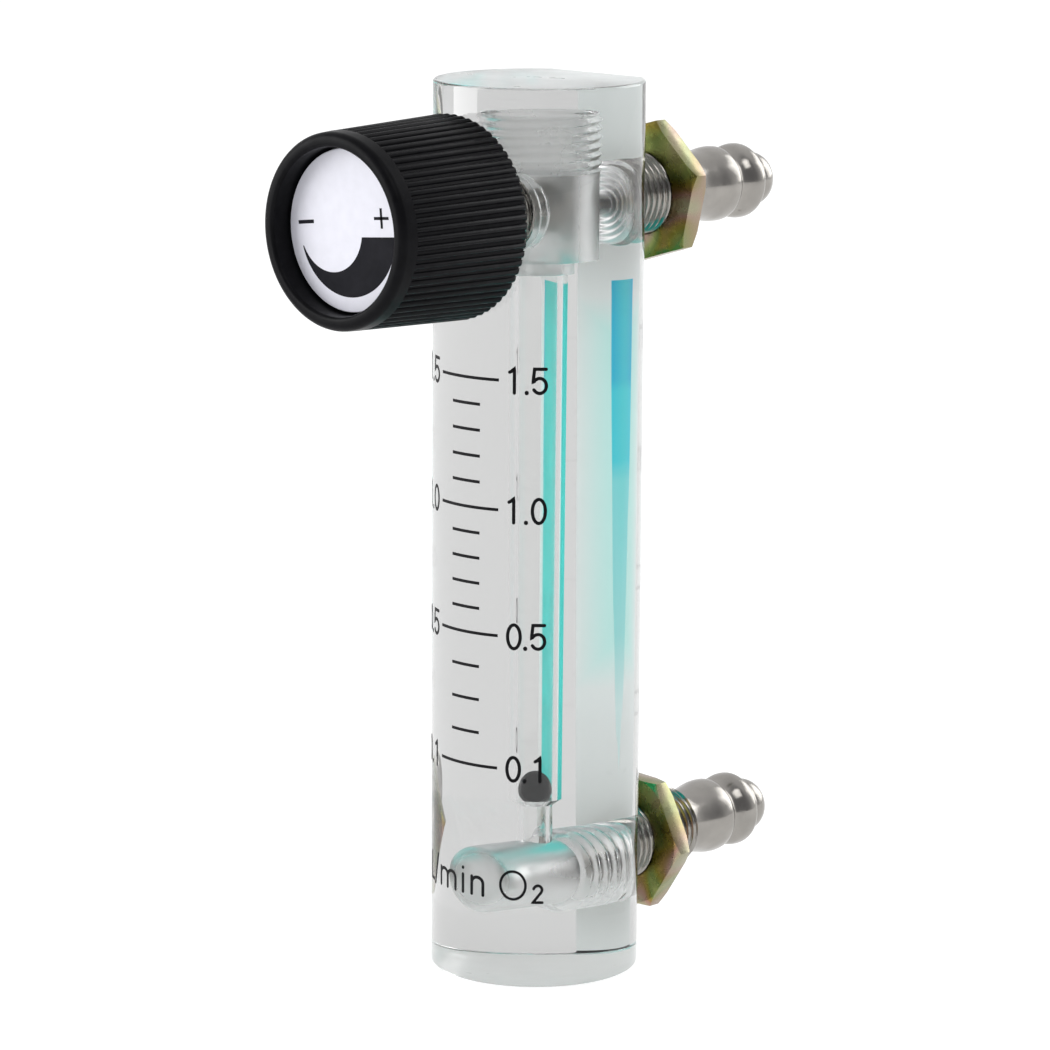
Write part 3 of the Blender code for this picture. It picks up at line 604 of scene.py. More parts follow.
def band_paint():
    """Thin paint, which light from behind shines through, with a painted reflection along its sides that is
    bluer and changes with height.
    """
    body = settings().body
    half_band = body.band_width / 2
    material, node = principled("band_paint", {"Roughness": 0.5, "Specular IOR Level": 0.0})
    tree = material.node_tree
    aside, height = distance_aside(tree)
    # Painted reflection: the band's sides are coloured bluer, in steps up its height, for the reflected
    # stripe of its edge
    edge_reflection_part = between(tree, aside, half_band - 0.6 * MM, half_band - 0.1 * MM)
    edge_reflection_tone = ramp(tree, between(tree, height, 30.0 * MM, 80.0 * MM), [
        (0.0, (0.72, 0.93, 0.92)), (0.18, (0.36, 0.84, 0.82)), (0.56, (0.22, 0.80, 0.82)),
        (0.61, (0.04, 0.72, 0.83)), (0.78, (0.03, 0.70, 0.83)), (0.81, body.band_edge_color)])
    middle_tone = shaded(tree, noise(tree, 260.0, 4.0), body.band_color, 0.92, 1.08)
    tone = mixed(tree, edge_reflection_part, middle_tone, edge_reflection_tone)
    tree.links.new(tone, node.inputs["Base Color"])
    let_light_through(tree, node, tone, 0.65)
    return material


def satin(name, rgb, roughness, scale, depth, low=0.85, high=1.15, **extra):
    """Opaque finish with a fine grain in its tone, roughness and relief."""
    material, node = principled(name, {"Roughness": roughness, **extra})
    tree = material.node_tree
    tone = shaded(tree, noise(tree, scale / 3, 4.0), rgb, low, high)
    tree.links.new(tone, node.inputs["Base Color"])
    tree.links.new(spread(tree, noise(tree, scale / 5), 0.85 * roughness, 1.2 * roughness),
                   node.inputs["Roughness"])
    add_bump(tree, node, noise(tree, scale, 3.0), depth)
    return material


def bright_nickel():
    """Nickel over turned brass, with faint turning marks."""
    metal = settings().metal
    material, node = principled("bright_nickel", {"Metallic": 1.0, "Roughness": metal.nickel_roughness})
    tree = material.node_tree
    tone = shaded(tree, noise(tree, 420.0, 3.0), metal.nickel_color, 0.90, 1.06)
    tree.links.new(tone, node.inputs["Base Color"])
    tree.links.new(spread(tree, noise(tree, 900.0), 0.7 * metal.nickel_roughness,
                          1.4 * metal.nickel_roughness), node.inputs["Roughness"])
    add_bump(tree, node, waves(tree, 3200.0, "Y", 3.0), 0.002 * MM)
    return material


def zinc_film():
    """Passivated zinc, whose film shifts from gold to olive, green and pink, with a paler painted sheen on
    the nuts' sides.
    """
    roughness = settings().metal.zinc_roughness
    material, node = principled("zinc_film", {"Metallic": 1.0, "Roughness": roughness})
    tree = material.node_tree
    film = ramp(tree, spread(tree, noise(tree, 135.0, 0.6, distortion=0.35), 0.0, 1.0), [
        (0.05, (0.40, 0.37, 0.24)),
        (0.22, (0.40, 0.24, 0.19)),
        (0.36, (0.31, 0.20, 0.07)),
        (0.50, (0.26, 0.22, 0.04)),
        (0.62, (0.20, 0.24, 0.07)),
        (0.76, (0.34, 0.36, 0.12)),
        (0.88, (0.42, 0.34, 0.20)),
        (1.00, (0.44, 0.28, 0.23))])
    # Painted sheen: faces turned away from the nut's axis are mixed toward the paler side colour
    facing = between(tree, calculate(tree, "ABSOLUTE", coordinates(tree, "Normal")["Y"]), -0.6, 0.9)
    tree.links.new(mixed(tree, facing, settings().metal.zinc_side_color, film), node.inputs["Base Color"])
    tree.links.new(spread(tree, noise(tree, 800.0), 0.75 * roughness, 1.3 * roughness),
                   node.inputs["Roughness"])
    add_bump(tree, node, noise(tree, 1500.0, 3.0), 0.006 * MM)
    return material


def once(make):
    """Material made at its first use and shared after that."""
    if make.__name__ in PACKED_FINISHES:
        raise RuntimeError("the packed model already has a material named " + make.__name__)
    return bpy.data.materials.get(make.__name__) or make()


def printed_ink():
    """Dense ink of the scale."""
    return satin("printed_ink", settings().scale.ink_color, 0.5, 3000.0, 0.002 * MM,
                 **{"Specular IOR Level": 0.12})


def black_ceramic():
    """Ground ball with a soft gloss."""
    return satin("black_ceramic", (0.004, 0.004, 0.005), 0.22, 1800.0, 0.001 * MM,
                 **{"Specular IOR Level": 0.04})


def turned_brass():
    """Turned brass of the needle."""
    return satin("turned_brass", settings().metal.brass_color, 0.22, 1500.0, 0.003 * MM, Metallic=1.0)


def plain_steel():
    """Steel of the screw and its washer."""
    return satin("plain_steel", (0.56, 0.56, 0.58), 0.28, 1500.0, 0.004 * MM, Metallic=1.0)


def moulded_rubber():
    """Moulded rubber of the seals."""
    return satin("moulded_rubber", (0.018, 0.018, 0.018), 0.55, 2500.0, 0.006 * MM)


def cut_nylon():
    """Matt nylon of the gland's washer."""
    return satin("cut_nylon", (0.80, 0.80, 0.77), 0.45, 1500.0, 0.004 * MM, 0.94, 1.05)


def knob_plastic():
    """Moulded black plastic with a fine grain."""
    knob = settings().knob
    return satin("knob_plastic", knob.plastic_color, knob.plastic_roughness, 2600.0, 0.005 * MM, 0.8, 1.3,
                 **{"Specular IOR Level": 0.06})


def disc_plastic():
    """White face of the disc."""
    return satin("disc_plastic", settings().knob.disc_color, 0.42, 1800.0, 0.003 * MM, 0.97, 1.03)


def disc_ink():
    """Dark print on the disc."""
    return satin("disc_ink", settings().knob.wedge_color, 0.5, 2400.0, 0.002 * MM,
                 **{"Specular IOR Level": 0.06})


def floor_paint():
    """Pale studio floor."""
    stage = settings().stage
    return satin("floor_paint", stage.floor_color, 0.6, 40.0, 0.05 * MM, 0.99, 1.01,
                 **{"Emission Color": (1, 1, 1, 1), "Emission Strength": stage.floor_glow,
                    "Specular IOR Level": 0.0})


# Clear bar

def bar_ring(bm, inset, height, marks):
    """Ring of the D-shaped section, drawn in by an inset, with chosen points on its flat."""
    radius = BODY_RADIUS - inset
    flat = BACK_FLAT - inset
    corner = math.asin(flat / radius)
    ring = []
    for step in range(BAR_STEPS + 1):
        turn = math.pi - corner + (math.pi + 2 * corner) * step / BAR_STEPS
        ring.append(bm.verts.new((radius * math.cos(turn), radius * math.sin(turn), height)))
    ring += [bm.verts.new((mark, flat, height)) for mark in marks]
    return ring


def clear_bar(materials):
    """Uncut bar. Its slots are polished, milled, painted, foot and top."""
    body = settings().body
    half_band = body.band_width / 2
    marks = (half_band, half_band / 3, -half_band / 3, -half_band)
    polish = body.edge_round
    turns = [math.radians(90 * step / 4) for step in range(5)]
    levels = [(polish * (1 - math.sin(turn)), polish * (1 - math.cos(turn))) for turn in turns]
    levels += [(0, body.band_foot), (0, body.band_top)]
    levels += [(polish * (1 - math.cos(turn)), BODY_TOP - polish * (1 - math.sin(turn)))
               for turn in turns]
    bm = bmesh.new()
    rings = [bar_ring(bm, inset, height, marks) for inset, height in levels]
    for lower, upper in zip(rings, rings[1:]):
        bridge(bm, lower, upper)
    bm.faces.new(reversed(rings[0]))
    bm.faces.new(rings[-1])
    for face in bm.faces:
        centre = face.calc_center_median()
        face.normal_update()
        if abs(face.normal.z) > 0.99:
            face.material_index = TOP if face.normal.z > 0 else FOOT
        elif centre.y > BACK_FLAT - 1e-6:
            in_band = abs(centre.x) < half_band and body.band_foot < centre.z < body.band_top
            face.material_index = PAINTED if in_band else MILLED
    return finish_mesh("clear_body", bm, materials)


def passage_cutter(materials):
    """Cavity, stop seat, tapered bore, ball seat, neck, and the gap around the cemented plug's thread."""
    body = settings().body
    gap = 0.07 * MM
    thread_top = BODY_TOP - 4.0 * MM
    crest, root = body.thread_crest, body.thread_root + 0.28 * MM
    neck_radius = 1.4 * MM
    seat_foot, seat_top = 20.3 * MM, 21.02 * MM
    bore_low_radius, bore_high_radius = 2.12 * MM, 2.35 * MM
    stop_seat, stop_radius = STOP_FOOT - 0.05 * MM, 2.86 * MM
    cavity_foot, cavity_radius = 86.0 * MM, 4.8 * MM
    profile = [
        (INLET_HEIGHT, 0.0),
        (INLET_HEIGHT, neck_radius, REAMED),
        (seat_foot, neck_radius, REAMED),
        (seat_top, bore_low_radius, REAMED),
        (stop_seat, bore_high_radius, DRILLED),
        (stop_seat, stop_radius, DRILLED),
        (cavity_foot, stop_radius, DRILLED),
        (cavity_foot, cavity_radius, DRILLED),
        (PLUG_FOOT - 0.2 * MM, cavity_radius, DRILLED),
    ]
    outer = threaded(PLUG_FOOT, thread_top, crest, root, body.thread_pitch, CEMENTED)
    inner = threaded(thread_top - gap, PLUG_FOOT, crest - gap, root - gap, body.thread_pitch, CEMENTED)
    profile += [(PLUG_FOOT - 0.1 * MM, cavity_radius, DRILLED)] + outer[2:] + inner[:-2]
    profile += [(PLUG_FOOT, body.thread_root - 0.5 * MM, DRILLED), (PLUG_FOOT, 0.0)]
    return turned("cut_passage", profile, materials)


def port_mouth(along, radius):
    """Chamfered mouth of a port, from outside the flat back."""
    lead = 0.4 * MM
    return [(along + CUT_OVERSHOOT, 0.0), (along + CUT_OVERSHOOT, radius + lead + CUT_OVERSHOOT),
            (along - lead, radius)]


def inlet_cutter(materials):
    """Lower port: thread, then a pilot hole with a rounded end."""
    body = settings().body
    pilot = 4.0 * MM
    pilot_end = -10.3 * MM
    end_round = 2.2 * MM
    profile = port_mouth(BACK_FLAT, body.thread_crest)
    profile += threaded(BACK_FLAT - 0.45 * MM, 1.7 * MM, body.thread_crest, body.thread_root,
                        body.thread_pitch, TAPPED)
    profile += [(1.5 * MM, pilot, DRILLED)]
    profile += arc((pilot_end + end_round, pilot - end_round), end_round, 90, 180)
    profile.append((pilot_end, 0.0))
    return turned("cut_inlet", profile, materials, INLET_AXIS)


def outlet_cutter(materials):
    """Upper port with rings in its end, and the orifice that the needle closes."""
    body = settings().body
    end, outer, orifice = 6.0 * MM, 4.2 * MM, 1.25 * MM
    ridge_count, ridge_height, steps = 4, 0.22 * MM, 48
    profile = port_mouth(BACK_FLAT, body.thread_crest)
    profile += threaded(BACK_FLAT - 0.45 * MM, 6.1 * MM, body.thread_crest, body.thread_root,
                        body.thread_pitch, TAPPED)
    for step in range(steps + 1):
        ridge = ridge_height * (0.5 - 0.5 * math.cos(math.tau * ridge_count * step / steps))
        profile.append((end + ridge, outer + (orifice - outer) * step / steps, DRILLED))
    profile += [(0.0, orifice), (0.0, 0.0)]
    return turned("cut_outlet", profile, materials, OUTLET_AXIS)


def valve_cutter(materials):
    """Spot-faced and threaded hole for the bush."""
    body = settings().body
    seat = 6.7 * MM
    face = BODY_RADIUS - 2.0 * MM
    groove = 6.1 * MM
    profile = [
        (BODY_RADIUS + CUT_OVERSHOOT, 0.0),
        (BODY_RADIUS + CUT_OVERSHOOT, seat, DRILLED),
        (face, seat, DRILLED),
        (face, groove, DRILLED),
        (face - 1.4 * MM, groove, DRILLED),
        (face - 1.4 * MM, body.thread_crest + 0.02 * MM, TAPPED),
    ]
    profile += threaded(face - 1.45 * MM, 3.2 * MM, body.thread_crest, body.thread_root, body.thread_pitch,
                        TAPPED)
    profile += [(3.1 * MM, 4.3 * MM, DRILLED), (3.1 * MM, 0.0)]
    return turned("cut_valve", profile, materials, VALVE_AXIS)


class FLOWMETER_OT_clear_body(Operator):
    """Make the clear bar with its plug, threads and passages"""

    bl_idname = "flowmeter.clear_body"
    bl_label = "Clear Body"

    def execute(self, context):
        outside = [once(polished_acrylic), once(milled_acrylic), once(band_paint), once(foot_acrylic),
                   once(top_acrylic)]
        inside = [once(drilled_acrylic), once(reamed_acrylic), once(tapped_acrylic), once(cemented_acrylic)]
        bar = clear_bar(outside)
        for cutter in (passage_cutter, inlet_cutter, outlet_cutter, valve_cutter):
            boolean(bar, cutter(inside), transfer=True)
        shade(bar)
        dress(bar, "root", "clear_acrylic", "body_block", "top_plug")
        return {"FINISHED"}


class FLOWMETER_OT_float(Operator):
    """Make the black ball and the clear ring that stops it"""

    bl_idname = "flowmeter.float"
    bl_label = "Float"

    def execute(self, context):
        profile = arc((BALL_CENTRE, 0.0), BALL_RADIUS, 180, 0, 40)
        profile[0] = (BALL_CENTRE - BALL_RADIUS, 0.0)
        profile[-1] = (BALL_CENTRE + BALL_RADIUS, 0.0)
        ball = turned("ball", profile, [once(black_ceramic)])
        dress(ball, "float", "black_ball", "float_ball")
        edge = 0.15 * MM
        inner = 1.1 * MM
        outer = 2.8 * MM
        ring = turned("stop_ring", [
            (STOP_FOOT + edge, inner), (STOP_FOOT, inner + edge), (STOP_FOOT, outer - edge),
            (STOP_FOOT + edge, outer), (STOP_TOP - edge, outer), (STOP_TOP, outer - edge),
            (STOP_TOP, inner + edge), (STOP_TOP - edge, inner)], [once(reamed_acrylic)])
        dress(ring, "root", "clear_acrylic", "float_stop")
        return {"FINISHED"}


# Print on the bar

def wrap(x, height, depth):
    """Point on the front of the bar from a distance around it, a height and a depth."""
    turn = x / BODY_RADIUS
    reach = BODY_RADIUS + depth
    return Vector((reach * math.sin(turn), -reach * math.cos(turn), height))


def curved_line(name, start, end, thickness, material):
    """Closed line around the bar between two angles, at height nought."""
    scale = settings().scale
    steps = 24
    bm = bmesh.new()
    rings = []
    for step in range(steps + 1):
        x = BODY_RADIUS * (start + (end - start) * step / steps)
        rings.append([bm.verts.new(wrap(x, height, depth)) for height, depth in (
            (-thickness / 2, -scale.ink_depth / 2), (-thickness / 2, scale.ink_depth),
            (thickness / 2, scale.ink_depth), (thickness / 2, -scale.ink_depth / 2))])
    for lower, upper in zip(rings, rings[1:]):
        bridge(bm, lower, upper)
    bm.faces.new(reversed(rings[0]))
    bm.faces.new(rings[-1])
    return finish_mesh(name, bm, [material])


def tree_with(name, inputs):
    """Geometry node tree with named inputs, and the identifier of each."""
    tree = bpy.data.node_groups.new(name, "GeometryNodeTree")
    tree.interface.new_socket(name="Geometry", in_out="OUTPUT", socket_type="NodeSocketGeometry")
    keys = {}
    for label, kind in inputs.items():
        keys[label] = tree.interface.new_socket(name=label, in_out="INPUT", socket_type=kind).identifier
    return tree, keys


def bake_tree(name, tree, keys, values):
    """Plain object from a tree with its inputs set."""
    holder = add_object(name, bpy.data.meshes.new(name))
    modifier = holder.modifiers.new(name, "NODES")
    modifier.node_group = tree
    for label, value in values.items():
        modifier[keys[label]] = value
    apply_modifiers(holder)
    return holder


def tick_tree():
    """Tree that sets a long line at the foot of a span and short lines above it."""
    tree, keys = tree_with("scale_ticks", {
        "Long Line": "NodeSocketObject", "Short Line": "NodeSocketObject", "Count": "NodeSocketInt",
        "Foot": "NodeSocketFloat", "Step": "NodeSocketFloat", "Ink": "NodeSocketMaterial"})
    add = tree.nodes.new
    link = tree.links.new
    inputs = add("NodeGroupInput").outputs
    foot, step = add("ShaderNodeCombineXYZ"), add("ShaderNodeCombineXYZ")
    link(inputs["Foot"], foot.inputs["Z"])
    link(inputs["Step"], step.inputs["Z"])
    points = add("GeometryNodeMeshLine")
    points.mode = "OFFSET"
    link(inputs["Count"], points.inputs["Count"])
    link(foot.outputs["Vector"], points.inputs["Start Location"])
    link(step.outputs["Vector"], points.inputs["Offset"])
    above = add("FunctionNodeCompare")
    above.data_type = "INT"
    above.operation = "GREATER_THAN"
    link(add("GeometryNodeInputIndex").outputs["Index"], above.inputs[2])
    first = add("FunctionNodeBooleanMath")
    first.operation = "NOT"
    link(above.outputs["Result"], first.inputs[0])
    both = add("GeometryNodeJoinGeometry")
    for label, chosen in (("Long Line", first.outputs[0]), ("Short Line", above.outputs["Result"])):
        line = add("GeometryNodeObjectInfo")
        copies = add("GeometryNodeInstanceOnPoints")
        link(inputs[label], line.inputs["Object"])
        link(points.outputs["Mesh"], copies.inputs["Points"])
        link(chosen, copies.inputs["Selection"])
        link(line.outputs["Geometry"], copies.inputs["Instance"])
        link(copies.outputs["Instances"], both.inputs["Geometry"])
    real = add("GeometryNodeRealizeInstances")
    ink = add("GeometryNodeSetMaterial")
    link(both.outputs["Geometry"], real.inputs["Geometry"])
    link(real.outputs["Geometry"], ink.inputs["Geometry"])
    link(inputs["Ink"], ink.inputs["Material"])
    link(ink.outputs["Geometry"], add("NodeGroupOutput").inputs["Geometry"])
    return tree, keys


def oval(centre, half_width, half_height, start, end, steps=24):
    """Points on an oval, angles in degrees."""
    points = []
    for step in range(steps + 1):
        turn = math.radians(start + (end - start) * step / steps)
        points.append((centre[0] + half_width * math.cos(turn), centre[1] + half_height * math.sin(turn)))
    return points


def filled_in(points, closed, longest):
    """Points with more between those that lie far apart."""
    following = points[1:] + points[:1] if closed else points[1:]
    full = []
    for start, end in zip(points, following):
        steps = max(1, math.ceil((end - start).length / longest))
        full += [start.lerp(end, step / steps) for step in range(steps)]
    return full if closed else full + [points[-1]]


def round_tip(point, outward, side):
    """Narrowing sections past the end of a stroke, the widest first."""
    reach = side.length
    return [(point + outward * reach * math.sin(math.radians(turn)), side * math.cos(math.radians(turn)))
            for turn in (25, 50, 75)]


def pen_stroke(points, width, material, closed=False):
    """Raised line of ink through points (distance around the bar, height), with round ends."""
    ink = settings().scale.ink_depth
    points = filled_in([Vector(point) for point in points], closed, 0.25 * MM)
    sections = []
    for place, point in enumerate(points):
        before = points[place - 1] if place or closed else point
        after = points[(place + 1) % len(points)] if closed or place + 1 < len(points) else point
        arriving = (point - before).normalized()
        leaving = (after - point).normalized()
        along = (arriving + leaving).normalized()
        bend = max(0.6, along.dot(leaving if leaving.length else arriving))
        sections.append((point, Vector((-along.y, along.x)) * width / (2 * bend)))
    if not closed:
        first, last = sections[0], sections[-1]
        head = round_tip(first[0], (points[0] - points[1]).normalized(), first[1])
        tail = round_tip(last[0], (points[-1] - points[-2]).normalized(), last[1])
        sections = head[::-1] + sections + tail
    bm = bmesh.new()
    rings = []
    for centre, side in sections:
        left, right = centre - side, centre + side
        rings.append([bm.verts.new(wrap(corner.x, corner.y, depth)) for corner, depth in (
            (left, -ink / 2), (left, ink), (right, ink), (right, -ink / 2))])
    for lower, upper in zip(rings, rings[1:]):
        bridge(bm, lower, upper)
    if closed:
        bridge(bm, rings[-1], rings[0])
    else:
        bm.faces.new(reversed(rings[0]))
        bm.faces.new(rings[-1])
    return finish_mesh("stroke", bm, [material])


def digit_strokes(digit):
    """Strokes of a digit in millimetres, each with whether it closes on itself."""
    if digit == "0":
        return [(oval((0.93, 1.6), 0.76, 1.43, 0, 345, 23), True)]
    if digit == "1":
        return [([(0.26, 2.60), (0.50, 2.72), (0.83, 3.05), (0.83, 0.17)], False)]
    bowl = oval((0.93, 1.07), 0.78, 0.88, 145, -148)
    return [([(1.68, 3.03), (0.33, 3.03), (0.16, 1.50)] + bowl, False)]


def arch(foot, width):
    """Second leg of an n in millimetres, from the stem at a foot."""
    return oval((foot + width / 2, 1.5), width / 2, 0.72, 180, 0, 12) + [(foot + width, 0.1)]


def draw(strokes, x, foot, width, material):
    """Ink objects for strokes in millimetres, from a place on the bar."""
    return [pen_stroke([(x + right * MM, foot + up * MM) for right, up in points], width, material, closed)
            for points, closed in strokes]


def printed_number(words, x, foot, material):
    """Ink objects for a number such as 0.5, from its left side and its foot."""
    width = settings().scale.stroke_width
    last = 3.28 if words[2] == "1" else 2.86
    point = [([(2.29, 0.20), (2.29, 0.24)], False)]
    items = draw(digit_strokes(words[0]), x, foot, width, material)
    items += draw(point, x, foot, 1.25 * width, material)
    items += draw(digit_strokes(words[2]), x + last * MM, foot, width, material)
    return items


def printed_unit(foot, material):
    """Ink objects for the unit, litres a minute of oxygen."""
    width = settings().scale.stroke_width
    items = draw([([(0.0, 3.2), (0.0, 0.1), (1.1, 0.1)], False)], -8.0 * MM, foot, width, material)
    items += draw([([(0.0, -0.2), (0.95, 3.5)], False)], -6.3 * MM, foot, width, material)
    stem = ([(0.0, 0.1), (0.0, 2.25)], False)
    arches = [(arch(0.0, 1.55), False), (arch(1.55, 1.55), False)]
    items += draw([stem, *arches], -4.45 * MM, foot, width, material)
    items += draw([stem, ([(0.0, 3.05), (0.0, 3.1)], False)], -0.04 * MM, foot, width, material)
    items += draw([stem, (arch(0.0, 1.60), False)], 1.33 * MM, foot, width, material)
    letter_o = oval((1.68, 1.72), 1.53, 1.70, 0, 350, 35)
    items += draw([(letter_o, True)], 5.06 * MM, foot, 0.8 * width, material)
    two = oval((0.68, 1.25), 0.50, 0.52, 165, -40, 14) + [(0.10, -0.30), (1.22, -0.30)]
    items += draw([(two, False)], 9.05 * MM, foot, 0.85 * width, material)
    return items


class FLOWMETER_OT_scale(Operator):
    """Print the lines, the numbers and the unit on the bar"""

    bl_idname = "flowmeter.scale"
    bl_label = "Scale"

    def execute(self, context):
        scale = settings().scale
        ink = once(printed_ink)
        long_span = (math.radians(-20.0), math.radians(21.7))
        short_span = (math.radians(-9.5), math.radians(10.4))
        number_starts = (math.radians(26.5), math.radians(-45.7))
        unit_foot = 10.8 * MM
        long_line = curved_line("long_line", *long_span, scale.line_width, ink)
        short_line = curved_line("short_line", *short_span, scale.line_width, ink)
        tree, keys = tick_tree()
        marks = (scale.low_mark, scale.half_mark, scale.unit_mark, scale.high_mark)
        spans = [(low, high, count) for low, high, count in zip(marks, marks[1:], (4, 5, 5))]
        spans.append((scale.high_mark, scale.high_mark, 1))
        ticks = [bake_tree("ticks", tree, keys, {
            "Long Line": long_line, "Short Line": short_line, "Count": count,
            "Foot": low, "Step": (high - low) / count, "Ink": ink}) for low, high, count in spans]
        bpy.data.objects.remove(long_line)
        bpy.data.objects.remove(short_line)
        dress(join("scale_lines", ticks), "root", "knob_black")
        numbers = []
        for words, mark in zip(("0.1", "0.5", "1.0", "1.5"), marks):
            for start in number_starts:
                numbers += printed_number(words, BODY_RADIUS * start, mark - scale.digit_height / 2, ink)
        dress(join("scale_numbers", numbers), "root", "knob_black")
        dress(join("scale_unit", printed_unit(unit_foot, ink)), "root", "knob_black")
        return {"FINISHED"}


# Fittings and nuts

def hex_prism(name, across_flats, foot, top, axis, turn, materials):
    """Hexagonal prism along an axis."""
    corner = across_flats / math.sqrt(3)
    bm = bmesh.new()
    rings = []
    turns = [turn + math.radians(60 * side) for side in range(6)]
    for along in (foot, top):
        rings.append([bm.verts.new(axis @ Vector((corner * math.cos(turn), corner * math.sin(turn), along)))
                      for turn in turns])
    bridge(bm, *rings)
    bm.faces.new(reversed(rings[0]))
    bm.faces.new(rings[-1])
    return finish_mesh(name, bm, materials)


def chamfered_hex(name, across_flats, foot, top, lead, axis, turn, materials, both=True):
    """Hexagon whose corners are turned off, with softened edges."""
    item = hex_prism(name, across_flats, foot, top, axis, turn, materials)
    corner = across_flats / math.sqrt(3)
    drop = lead * math.tan(math.radians(30.0))
    profile = [(foot - drop, 0.0), (foot - drop, corner - 2 * lead), (foot + drop, corner)]
    if not both:
        profile = [(foot - drop, 0.0), (foot - drop, corner + lead)]
    profile += [(top - drop, corner), (top + drop, corner - 2 * lead), (top + drop, 0.0)]
    boolean(item, turned("cut_corners", profile, materials, axis, 180), "INTERSECT")
    bevel = item.modifiers.new("soft_edges", "BEVEL")
    bevel.width = 0.09 * MM
    bevel.segments = 2
    bevel.limit_method = "ANGLE"
    bevel.angle_limit = math.radians(20.0)
    apply_modifiers(item)
    return item


def stem_radii():
    """Crest and root radius of a stem's thread, whose sealant leaves no air in the port."""
    body = settings().body
    sealant = 0.02 * MM
    return body.thread_crest + sealant, body.thread_root + sealant


def hose_fitting(name, node, axis):
    """Threaded stem with two rounded barbs and a nose, bored through."""
    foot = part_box(node)[0].y
    nose_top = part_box(node)[1].y
    crest, root = stem_radii()
    bore = 2.1 * MM
    stem_top = foot + 18.4 * MM
    undercut = 3.9 * MM
    profile = [(foot + 0.2 * MM, bore), (foot, bore + 0.2 * MM), (foot, root - 0.25 * MM)]
    profile += threaded(foot, stem_top, crest, root, settings().body.thread_pitch)[1:-1]
    profile += [(stem_top, root - 0.1 * MM)]
    points = [
        (stem_top + 0.05 * MM, undercut),
        (stem_top + 1.5 * MM, undercut),
        (stem_top + 3.4 * MM, 4.20 * MM),
        (stem_top + 5.0 * MM, 4.53 * MM),
        (stem_top + 6.3 * MM, 4.60 * MM),
        (stem_top + 7.1 * MM, 4.44 * MM),
        (stem_top + 7.7 * MM, 3.86 * MM),
        (stem_top + 8.2 * MM, 3.72 * MM),
        (stem_top + 8.8 * MM, 3.92 * MM),
        (stem_top + 9.7 * MM, 4.42 * MM),
        (stem_top + 10.7 * MM, 4.60 * MM),
        (stem_top + 11.5 * MM, 4.44 * MM),
        (stem_top + 12.1 * MM, 3.72 * MM),
        (stem_top + 12.7 * MM, 3.36 * MM),
        (stem_top + 13.2 * MM, 3.36 * MM),
    ]
    nose_round = 2.2 * MM
    nose_centre = (stem_top + 13.48 * MM, 1.15 * MM)
    profile += smooth_outline(points, 5)
    profile += arc(nose_centre, nose_round, 85, 34.6, 10)
    profile += [(nose_top, bore + 0.15 * MM), (nose_top - 0.15 * MM, bore)]
    return turned(name, profile, [once(bright_nickel)], axis)


class FLOWMETER_OT_fittings(Operator):
    """Make the two hose fittings and their lock nuts"""

    bl_idname = "flowmeter.fittings"
    bl_label = "Fittings and Nuts"

    def execute(self, context):
        zinc = once(zinc_film)
        body = settings().body
        across_flats, lead, mouth = 15.7 * MM, 0.8 * MM, 6.6 * MM
        play = 0.06 * MM
        for place, axis, turn in (("inlet", INLET_AXIS, 3.5), ("outlet", OUTLET_AXIS, -17.0)):
            stem = hose_fitting(place + "_hose_stem", place + "_fitting", axis)
            dress(stem, "root", "nickel_plate", place + "_fitting")
            low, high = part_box(place + "_nut")
            nut = chamfered_hex(place + "_lock_nut", across_flats, low.y, high.y, lead, axis,
                                math.radians(turn), [zinc])
            hole = [(low.y - CUT_OVERSHOOT, 0.0), (low.y - CUT_OVERSHOOT, mouth)]
            hole += threaded(low.y + 0.45 * MM, high.y - 0.45 * MM, body.thread_crest + play,
                             body.thread_root + play, body.thread_pitch)
            hole += [(high.y + CUT_OVERSHOOT, mouth), (high.y + CUT_OVERSHOOT, 0.0)]
            boolean(nut, turned("cut_hole", hole, [zinc], axis))
            shade(nut)
            dress(nut, "root", "yellow_zinc", place + "_nut")
        return {"FINISHED"}


# Valve

def o_ring(name, node, material):
    """Rubber ring around the valve's axis."""
    low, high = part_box(node)
    section = (high.y - low.y) / 2
    middle = high.x - section
    centre = -(low.y + high.y) / 2
    profile = arc((centre, middle), section, 0, 360, 20)[:-1]
    return turned(name, profile, [material], VALVE_AXIS)


def block_cutter(name, size, centre, material):
    """Block along the valve's axis that cuts a flat or a slot."""
    bm = bmesh.new()
    place = VALVE_AXIS @ Matrix.Translation(centre) @ Matrix.Diagonal((*size, 1.0))
    bmesh.ops.create_cube(bm, size=1.0, matrix=place)
    return finish_mesh(name, bm, [material])


